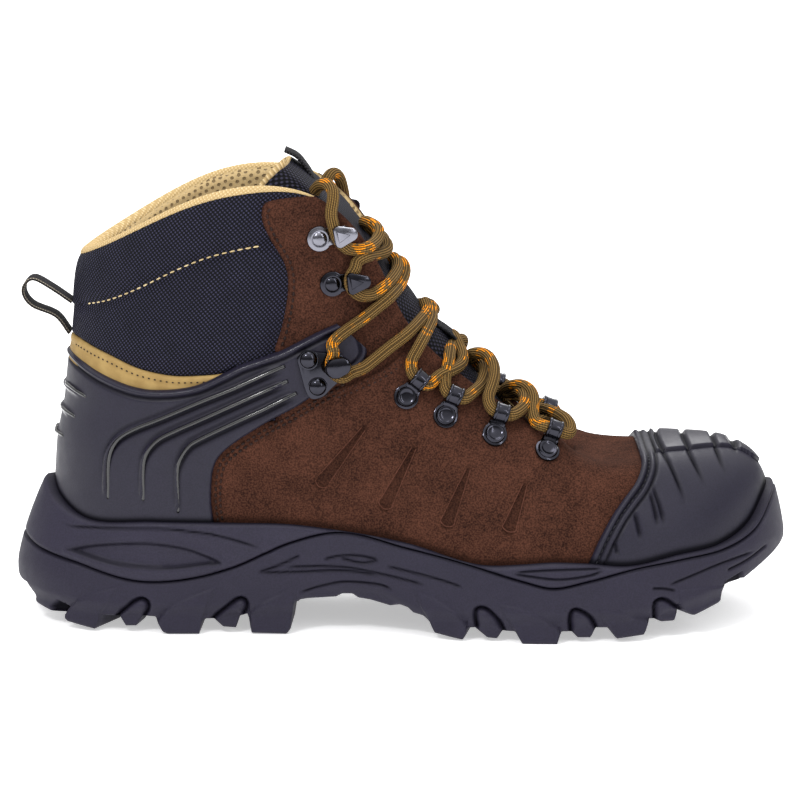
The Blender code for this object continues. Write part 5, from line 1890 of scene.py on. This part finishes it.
def arc(centre, radius, start, end, count):
    turn = np.radians(np.linspace(start, end, count))
    return np.stack([centre[0] + radius * np.cos(turn), centre[1] + radius * np.sin(turn)], 1)


def strip_shape(line, half, thick):
    """A bent strip of sheet metal."""
    return band_shape(line, half, thick, 0.82, 0.35)


# Profiles of the rivets and of the ring round one, as radius and height
DISH = [(4.0, 0.9), (3.9, 1.7), (3.5, 2.15), (3.0, 2.2), (2.6, 1.95), (1.8, 1.75), (0.8, 1.7), (0.05, 1.7)]
DOME = [(3.5, 0.9), (3.4, 1.5), (3.0, 2.1), (2.3, 2.6), (1.4, 2.95), (0.6, 3.05), (0.05, 3.1)]
FLAT_DOME = [(3.0, 0.9), (2.9, 1.35), (2.4, 1.8), (1.5, 2.1), (0.6, 2.2), (0.05, 2.2)]
RIVET_RING = [(3.9, 0.9), (3.9, 1.25), (3.5, 1.4), (3.1, 1.3)]


def loop_shapes():
    """A folded lace loop: round plate with a dished rivet, and a strip turned up into an eye."""
    root = [(EYE_OUT - 2.0, -2.9), (EYE_OUT - 2.0, 2.9)]
    plate = np.concatenate([arc((0.0, 0.0), PLATE_R, 50.0, 310.0, 21), root])
    middle = (EYE_OUT, PLATE_THICK + EYE_R - 0.2)
    bend_r = EYE_R + 0.45
    bend = arc(middle, bend_r, 250.0, -75.0, 26)
    line = np.concatenate([[(3.2, 0.55), (EYE_OUT - 3.4, 0.55)], bend])
    half = np.interp(np.arange(len(line)), [0, 2, 10, len(line) - 1], [3.2, 2.9, 2.6, 2.7])
    shapes = [plate_shape(plate, 0.0, PLATE_THICK, 0.4), turned(DISH), strip_shape(line, half, 0.9)]
    back = np.concatenate([[(3.4, 1.5), (EYE_OUT - 4.2, 1.75)], arc(middle, bend_r, 205.0, 130.0, 8)])
    shapes.append(strip_shape(back, 2.7, 0.8))
    for side in (-1.0, 1.0):
        wire = np.column_stack([line[1:, 0], side * 0.85 * half[1:], line[1:, 1]])
        shapes.append(tube(wire, 0.75, 10)[:2])
    return shapes


def hook_shapes(lock):
    """A hook: plate, rivets, bent neck and head. The lock hook has two rivets and a rounded head."""
    if lock:
        plate = curve(LOCK_PLATE + LOCK_PLATE[:1], 6)[:-1]
        rivets = [(-0.8, -5.6), (-0.8, 5.6)]
    else:
        root = [(HOOK_OUT + 2.0, -2.8), (HOOK_OUT + 2.0, 2.8)]
        plate = np.concatenate([arc((0.0, 0.0), PLATE_R, 45.0, 315.0, 23), root])
        rivets = [(0.0, 0.0)]
    shapes = [plate_shape(plate, 0.0, PLATE_THICK + 0.1, 0.4)]
    for d, f in rivets:
        dome, faces = turned(DOME if lock else FLAT_DOME)
        shapes.append((dome + (d, f, 0.0), faces))
        ring, faces = turned(RIVET_RING)
        shapes.append((ring + (d, f, 0.0), faces))
    bends = [(2.2, 0.6), (2.0, 2.6), (1.6, 5.0), (0.4, HOOK_HIGH)]
    neck = curve([(HOOK_OUT + out, high) for out, high in bends], 6)
    shapes.append(strip_shape(neck, 2.5, 1.2))
    if lock:
        head = np.concatenate([arc((HOOK_OUT - 1.0, 0.0), 4.2, 90.0, 270.0, 12),
                               arc((HOOK_OUT + 1.2, 0.0), 3.8, -90.0, 90.0, 12)])
        shapes.append(plate_shape(head, HOOK_HIGH - 0.3, HOOK_HIGH + 2.2, 1.6))
    else:
        tip = np.concatenate([arc((HOOK_OUT + 2.4, 0.0), 2.6, -62.0, 62.0, 10),
                              arc((HOOK_OUT - 2.6, 2.6), 1.7, 75.0, 180.0, 8),
                              arc((HOOK_OUT - 2.6, -2.6), 1.7, 180.0, 285.0, 8)])
        shapes.append(plate_shape(tip, HOOK_HIGH - 0.2, HOOK_HIGH + 1.5, 0.7))
        mark = [(HOOK_OUT - 3.0, 2.3), (HOOK_OUT - 3.0, -2.3), (HOOK_OUT + 2.0, 0.0)]
        shapes.append(plate_shape(mark, HOOK_HIGH + 1.0, HOOK_HIGH + 2.0, 0.5))
    return shapes


def build_hardware():
    for number, row in enumerate(FITTINGS, 1):
        for side, word in ((-1, "outer"), (1, "inner")):
            shapes = loop_shapes() if row.kind == "lace_loop" else hook_shapes(row.kind == "lock_hook")
            points, faces = joined(shapes)
            place = fitting_frame(row, side)
            # The top hooks take the paler copy of the nickel as a painted reflection
            look = LIT_NICKEL if number == len(FITTINGS) else METAL
            node = f"{row.kind}_{word}_{number}"
            piece = make(f"nickel_{node}", placed(points, place), faces, look, points[:, :2])
            turn_out(piece)
            piece.data.set_sharp_from_angle(angle=math.radians(METAL_CREASE))
            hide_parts(node)


# Lace: middles of the near strands, as pixels of the photograph from each loop or hook to the ridge of the
# throat, and of the crossings there. The far side is the mirror image.

# Its radius, points round it, and the step along it
LACE_DRAWN = 2.4
LACE_SIDES = 18
LACE_STEP = 0.8
ENTER = [
    [(569, 434), (571, 428), (567, 420), (558, 414), (548, 410)],
    [(519, 411), (525, 404), (525, 396), (520, 391)],
    [(472, 393), (480, 386), (484, 377), (485, 369)],
    [(440, 375), (450, 371), (460, 365), (463, 357), (460, 348)],
    [(350, 373), (362, 369), (374, 360), (390, 347), (406, 335), (418, 323), (427, 311)],
    [(362, 296), (372, 295), (382, 289), (391, 280), (397, 270), (397, 262)],
    [(345, 248), (356, 250), (367, 248), (376, 241), (379, 232), (374, 225)],
]
LEAVE = [
    [(536, 423), (533, 411), (534, 400), (530, 390), (521, 385)],
    [(488, 399), (491, 389), (494, 378), (494, 367), (489, 357), (481, 353)],
    [(445, 378), (448, 365), (450, 352)],
    [(411, 362), (416, 352), (422, 341), (428, 329), (432, 319)],
    [(331, 346), (337, 338), (350, 328), (363, 319), (378, 307), (391, 296), (401, 283), (405, 270)],
    [(356, 262), (365, 257), (376, 255), (386, 251), (387, 244)],
]
RIDGE_TOP = [(538, 408), (508, 387), (471, 355), (455, 337), (424, 302), (393, 257), (364, 222)]
RIDGE_LOW = [(538, 408), (513, 393), (482, 364), (452, 343), (431, 309), (402, 262), (381, 238)]
# Crossings at which the strand that leaves the near side lies on top
LEAVE_OVER = (1, 2)


def fitting_path(row, side):
    """The lace's way through a loop or round a hook, from its lower mouth to its upper one."""
    if row.kind == "lace_loop":
        high = PLATE_THICK + EYE_R - 0.2
        spots = [(EYE_OUT, 3.6, high), (EYE_OUT, 0.0, high), (EYE_OUT, -3.6, high)]
    else:
        high = PLATE_THICK + LACE_DRAWN + 0.2
        back = HOOK_OUT - 1.6
        spots = [(back + 2.0, 5.2, high), (back - 0.3, 3.0, high), (back - 1.2, 0.0, high),
                 (back - 0.3, -3.0, high), (back + 2.0, -5.2, high)]
        if row is FITTINGS[-1]:
            spots[-2:] = [(back - 1.4, -2.6, high), (back - 1.6, -5.2, high)]
    return list(placed(spots, fitting_frame(row, side)))


def mirrored(points):
    return [point * (1.0, -1.0, 1.0) for point in points]


class Ground:
    """What the lace lies on: keeps its middle one radius in front of the surfaces that the camera sees."""

    def __init__(self, pieces):
        points = []
        faces = []
        for piece in pieces:
            start = len(points)
            points += [v.co.copy() for v in piece.data.vertices]
            faces += [[start + i for i in polygon.vertices] for polygon in piece.data.polygons]
        self.tree = BVHTree.FromPolygons(points, faces)

    def depth(self, pixel, y):
        """Depth at which the lace clears the surface at a pixel, and y at most."""
        way = Vector(ray_of(pixel)).normalized()
        spot, normal, _, _ = self.tree.ray_cast(Vector((EYE - MIDDLE) * MM), way)
        if spot is None:
            return y
        lean = max(abs(normal.dot(way)), 0.45)
        return min(y, spot.y / MM + MIDDLE[1] - LACE_DRAWN / lean * way.y)

    def laid(self, points):
        """Far strands, laid on the surface under them."""
        found = []
        for point in points:
            spot, normal, _, _ = self.tree.find_nearest(Vector((point - MIDDLE) * MM))
            off = np.array(normal)
            if off @ (0.3, 0.5, 0.8) < 0.0:
                off = -off
            found.append(np.array(spot) / MM + MIDDLE + off * (LACE_DRAWN + 0.2))
        return found


def strand(ground, pixels, mouth, ridge_pixel):
    """A near strand in space: pixels between a fitting's mouth and the ridge."""
    line = np.array([project(mouth)] + list(pixels) + [ridge_pixel], float)
    run = run_of(line)
    share = run / run[-1]
    found = []
    for pixel, t in zip(line[1:-1], share[1:-1]):
        found.append(on_plane(pixel, ground.depth(pixel, mouth[1] * (1.0 - t**1.3))))
    return found


def crossing_point(number, over):
    return on_plane((RIDGE_TOP if over else RIDGE_LOW)[number], 0.0)


def lace_route(ground, start_side):
    """One half of the lace, from the middle of the lowest bar up to its top hook."""
    side = start_side
    route = [crossing_point(0, True)]
    over = True
    for number, row in enumerate(FITTINGS):
        path = fitting_path(row, -1)
        ridge = (RIDGE_LOW if number in LEAVE_OVER else RIDGE_TOP)[number]
        arrive = strand(ground, ENTER[number], path[0], ridge)[::-1]
        depart = []
        if number + 1 < len(FITTINGS):
            after = number + 1
            ridge = (RIDGE_TOP if after in LEAVE_OVER else RIDGE_LOW)[after]
            depart = strand(ground, LEAVE[number], path[-1], ridge)
        if side < 0:
            route += arrive + path + depart
        else:
            route += ground.laid(mirrored(arrive)) + fitting_path(row, 1) + ground.laid(mirrored(depart))
        if number + 1 < len(FITTINGS):
            over = (after in LEAVE_OVER) == (side < 0)
            route.append(crossing_point(after, over))
            side = -side
    return route, side


def relaxed(path, rounds):
    """A path smoothed between its ends."""
    for _ in range(rounds):
        path[1:-1] = 0.25 * path[:-2] + 0.5 * path[1:-1] + 0.25 * path[2:]
    return path


# The ends, from the top hooks over the collar and down inside it: pixels with their depths
NEAR_END = [(331, 214, -38.0), (333, 201, -37.0), (333, 192, -34.5), (328, 185, -30.0), (320, 185, -25.5),
            (313, 194, -22.0), (308, 208, -20.0)]
FAR_END = [(344, 200, 37.0), (342, 186, 34.0), (339, 177, 31.0), (334, 173, 27.0), (328, 177, 23.0),
           (323, 190, 20.0), (320, 206, 19.0)]


def build_lace(grounds):
    ground = Ground(grounds)
    nodes = ["lace_bar"] + [f"lace_crossing_{n}" for n in range(1, 7)]
    for start_side, word in ((-1, "outer"), (1, "inner")):
        route, side = lace_route(ground, start_side)
        path = relaxed(even(curve(route, 10), LACE_STEP), 6)
        points, faces, uv = tube(path, LACE_DRAWN, LACE_SIDES)
        run = make(f"lace_run_from_{word}", points, faces, LACE, uv)
        if start_side < 0:
            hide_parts(*nodes)
        name = "outer" if side < 0 else "inner"
        ends = route[-2:] + [on_plane((px, py), y) for px, py, y in (NEAR_END if side < 0 else FAR_END)]
        tail = even(curve(ends, 12), LACE_STEP)
        first = int(np.argmin(np.linalg.norm(tail - route[-1], axis=1)))
        tail = relaxed(tail[max(first - 2, 0):], 4)
        points, faces, uv = tube(tail, LACE_DRAWN, LACE_SIDES)
        end = make(f"lace_tail_{name}", points, faces, LACE, uv)
        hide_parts(f"lace_end_{name}")


# A strap across the tongue that keeps the lace in place
KEEPER = [(432, 314), (438, 320), (447, 326), (456, 334), (463, 344), (467, 354)]
KEEPER_HALF = 7.0


def build_keeper():
    line = [on_plane(pixel, KEEPER_HALF)[[0, 2]] for pixel in KEEPER]
    build_tape("lace_keeper", None, line, KEEPER_HALF, 0.0, 1.2, [KEEPER_LOOK, KEEPER_LOOK])


# Stitches: the rings of one, as shares of its length, size and rise

STITCH_SIDES = 6
STITCH_RINGS = [(-0.5, 0.35, -0.25), (-0.3, 0.9, 0.15), (0.0, 1.0, 0.3), (0.3, 0.9, 0.15), (0.5, 0.35, -0.25)]
STITCH_STEPS = 800


def stitch_shape(centre, way, normal, long, thick):
    """One stitch: a small bowed capsule lying on the surface."""
    across = np.cross(normal, way)
    rings = []
    angle = np.arange(STITCH_SIDES) * np.pi / 3.0
    for t, size, rise in STITCH_RINGS:
        ring = np.cos(angle)[:, None] * across * size + np.sin(angle)[:, None] * normal * size
        rings.append(centre + way * long * t + (ring + normal * rise) * 0.5 * thick)
    return np.concatenate(rings), closed_faces(STITCH_SIDES, len(rings))


def stitched(name, lines, offset, pitch, long, thick, look):
    """Rows of stitches along lines of places and shares on the upper, on both of its sides."""
    shapes = []
    for line in lines:
        for spots in both_sides(line):
            steps = np.linspace(0, len(spots) - 1, STITCH_STEPS)
            fine = np.stack([np.interp(steps, np.arange(len(spots)), spots[:, i]) for i in (0, 1)], 1)
            points = on_form(fine[:, 0], fine[:, 1], np.full(STITCH_STEPS, offset))
            run = run_of(points)
            for middle in np.arange(pitch, run[-1] - pitch, pitch):
                spot = [np.interp(middle, run, fine[:, i]) for i in (0, 1)]
                a = np.array([np.interp(middle - 0.5, run, points[:, i]) for i in range(3)])
                b = np.array([np.interp(middle + 0.5, run, points[:, i]) for i in range(3)])
                way = (b - a) / np.linalg.norm(b - a)
                shapes.append(stitch_shape(0.5 * (a + b), way, outward(*spot), long, thick))
    points, faces = joined(shapes)
    piece = make(name, points, faces, look, points[:, [0, 2]])
    turn_out(piece)
    return piece


def beside(pixels, shift):
    """A line of pixels moved sideways."""
    line = curve(np.array(pixels, float), 5)
    return line + sideways(line) * shift


def build_stitches():
    cream = ON_UPPER.at(curve(STITCH_LINE, 5))
    stitched("collar_stitches", [cream], -0.9, 3.1, 2.3, 0.75, CREAM_THREAD)
    brown = []
    front = COUNTER_FRONT[4:]
    for shift in (-5.0, -9.5):
        brown.append(ON_UPPER.at(beside(front, shift)))
        brown.append(ON_UPPER.at(beside(SEAM[:-1], -shift - 1.0)))
    brown.append(ON_UPPER.at(beside(EYESTAY_REAR[2:], -5.5)))
    stitched("suede_stitches", brown, 0.35, 2.5, 1.7, 1.0, BROWN_THREAD)
    strip = ON_UPPER.at(beside(STRIP_TOP[1:-1], 6.0))
    stitched("strip_perforations", [strip], 0.45, 2.4, 1.1, 0.7, BROWN_THREAD)
    cap = ON_GUARD.at(beside(CAP_REAR, 6.5))
    stitched("cap_stitches", [cap], GUARD - 0.75, 2.6, 1.9, 0.6, BLACK_THREAD)


# Floor, light and camera. The floor is a pale light table, so that shadows stay soft

FLOOR_GLOW = 0.45
FLOOR_HALF = 8.0
SKY_LOW = 0.22
SKY_HIGH = 1.65
SKY_TURN = 0.9


def build_stage():
    look = Look("studio_floor", 0.9, Emission_Strength=FLOOR_GLOW)
    look.set("Base Color", look.mix(look.noise(900.0), (0.86, 0.86, 0.87), (0.90, 0.90, 0.905)))
    mesh = bpy.data.meshes.new("studio_floor")
    corners = [(FLOOR_HALF * x, FLOOR_HALF * y, 0.0) for x, y in ((-1, -1), (1, -1), (1, 1), (-1, 1))]
    mesh.from_pydata(corners, [], [(0, 1, 2, 3)])
    mesh.materials.append(look.material)
    floor = bpy.data.objects.new("studio_floor", mesh)
    bpy.context.scene.collection.objects.link(floor)
    bpy.context.scene.view_settings.view_transform = "Standard"
    world = bpy.data.worlds.new("studio")
    bpy.context.scene.world = world
    world.use_nodes = True
    tree = world.node_tree
    sky = tree.nodes["Background"]
    sky.inputs["Color"].default_value = (1.0, 1.0, 1.0, 1.0)
    place = tree.nodes.new("ShaderNodeTexCoord")
    parts = tree.nodes.new("ShaderNodeSeparateXYZ")
    rise = tree.nodes.new("ShaderNodeMapRange")
    rise.interpolation_type = "SMOOTHSTEP"
    for key, value in (("From Min", 0.0), ("From Max", SKY_TURN), ("To Min", SKY_LOW), ("To Max", SKY_HIGH)):
        rise.inputs[key].default_value = value
    tree.links.new(place.outputs["Generated"], parts.inputs[0])
    tree.links.new(parts.outputs["Z"], rise.inputs["Value"])
    tree.links.new(rise.outputs["Result"], sky.inputs["Strength"])


Lamp = namedtuple("Lamp", "name place aim wide tall power")
LAMPS = [
    Lamp("key", (-0.45, -0.85, 1.0), (0.0, 0.0, 0.08), 0.18, 0.18, 6.5),
    Lamp("fill", (0.8, -0.9, 0.7), (0.0, 0.0, 0.08), 0.12, 0.8, 2.5),
    Lamp("top", (0.1, -0.1, 1.4), (0.0, 0.0, 0.05), 0.6, 0.6, 5.0),
    Lamp("back", (0.2, 1.0, 0.9), (0.0, 0.0, 0.1), 0.6, 0.6, 4.0),
]


def build_lights():
    for row in LAMPS:
        data = bpy.data.lights.new(row.name, "AREA")
        data.energy = row.power
        data.shape = "RECTANGLE"
        data.size = row.wide
        data.size_y = row.tall
        lamp = bpy.data.objects.new(row.name, data)
        lamp.location = row.place
        way = Vector(row.aim) - Vector(row.place)
        lamp.rotation_euler = way.to_track_quat("-Z", "Y").to_euler()
        bpy.context.scene.collection.objects.link(lamp)


def build_camera():
    data = bpy.data.cameras.new("camera")
    data.sensor_width = 36.0
    data.lens = FOCAL / FRAME * data.sensor_width
    camera = bpy.data.objects.new("camera", data)
    camera.location = (EYE - MIDDLE) * MM
    camera.rotation_euler = (math.radians(90.0) - TILT, 0.0, 0.0)
    bpy.context.scene.collection.objects.link(camera)
    bpy.context.scene.camera = camera


build_camera()
build_lights()
build_stage()
build_shell()
suede = build_suede()
build_cloth()
build_strip()
build_counter()
build_cap()
build_ribs()
build_mark_edges()
tongue = build_tongue()
build_tape("heel_pull_tape", "pull_loop", PULL_LINE, 5.5, 0.0, 1.2, [TAPE_LOOK, PALE_TAPE])
build_tape("tongue_pull_tape", "tongue_tab", TAB_LINE, 6.0, 0.5, 1.3, [TAPE_LOOK, TAPE_LOOK])
build_insole()
build_outsole()
build_midsole()
build_lugs()
build_hardware()
build_lace(suede + [tongue])
build_keeper()
build_stitches()
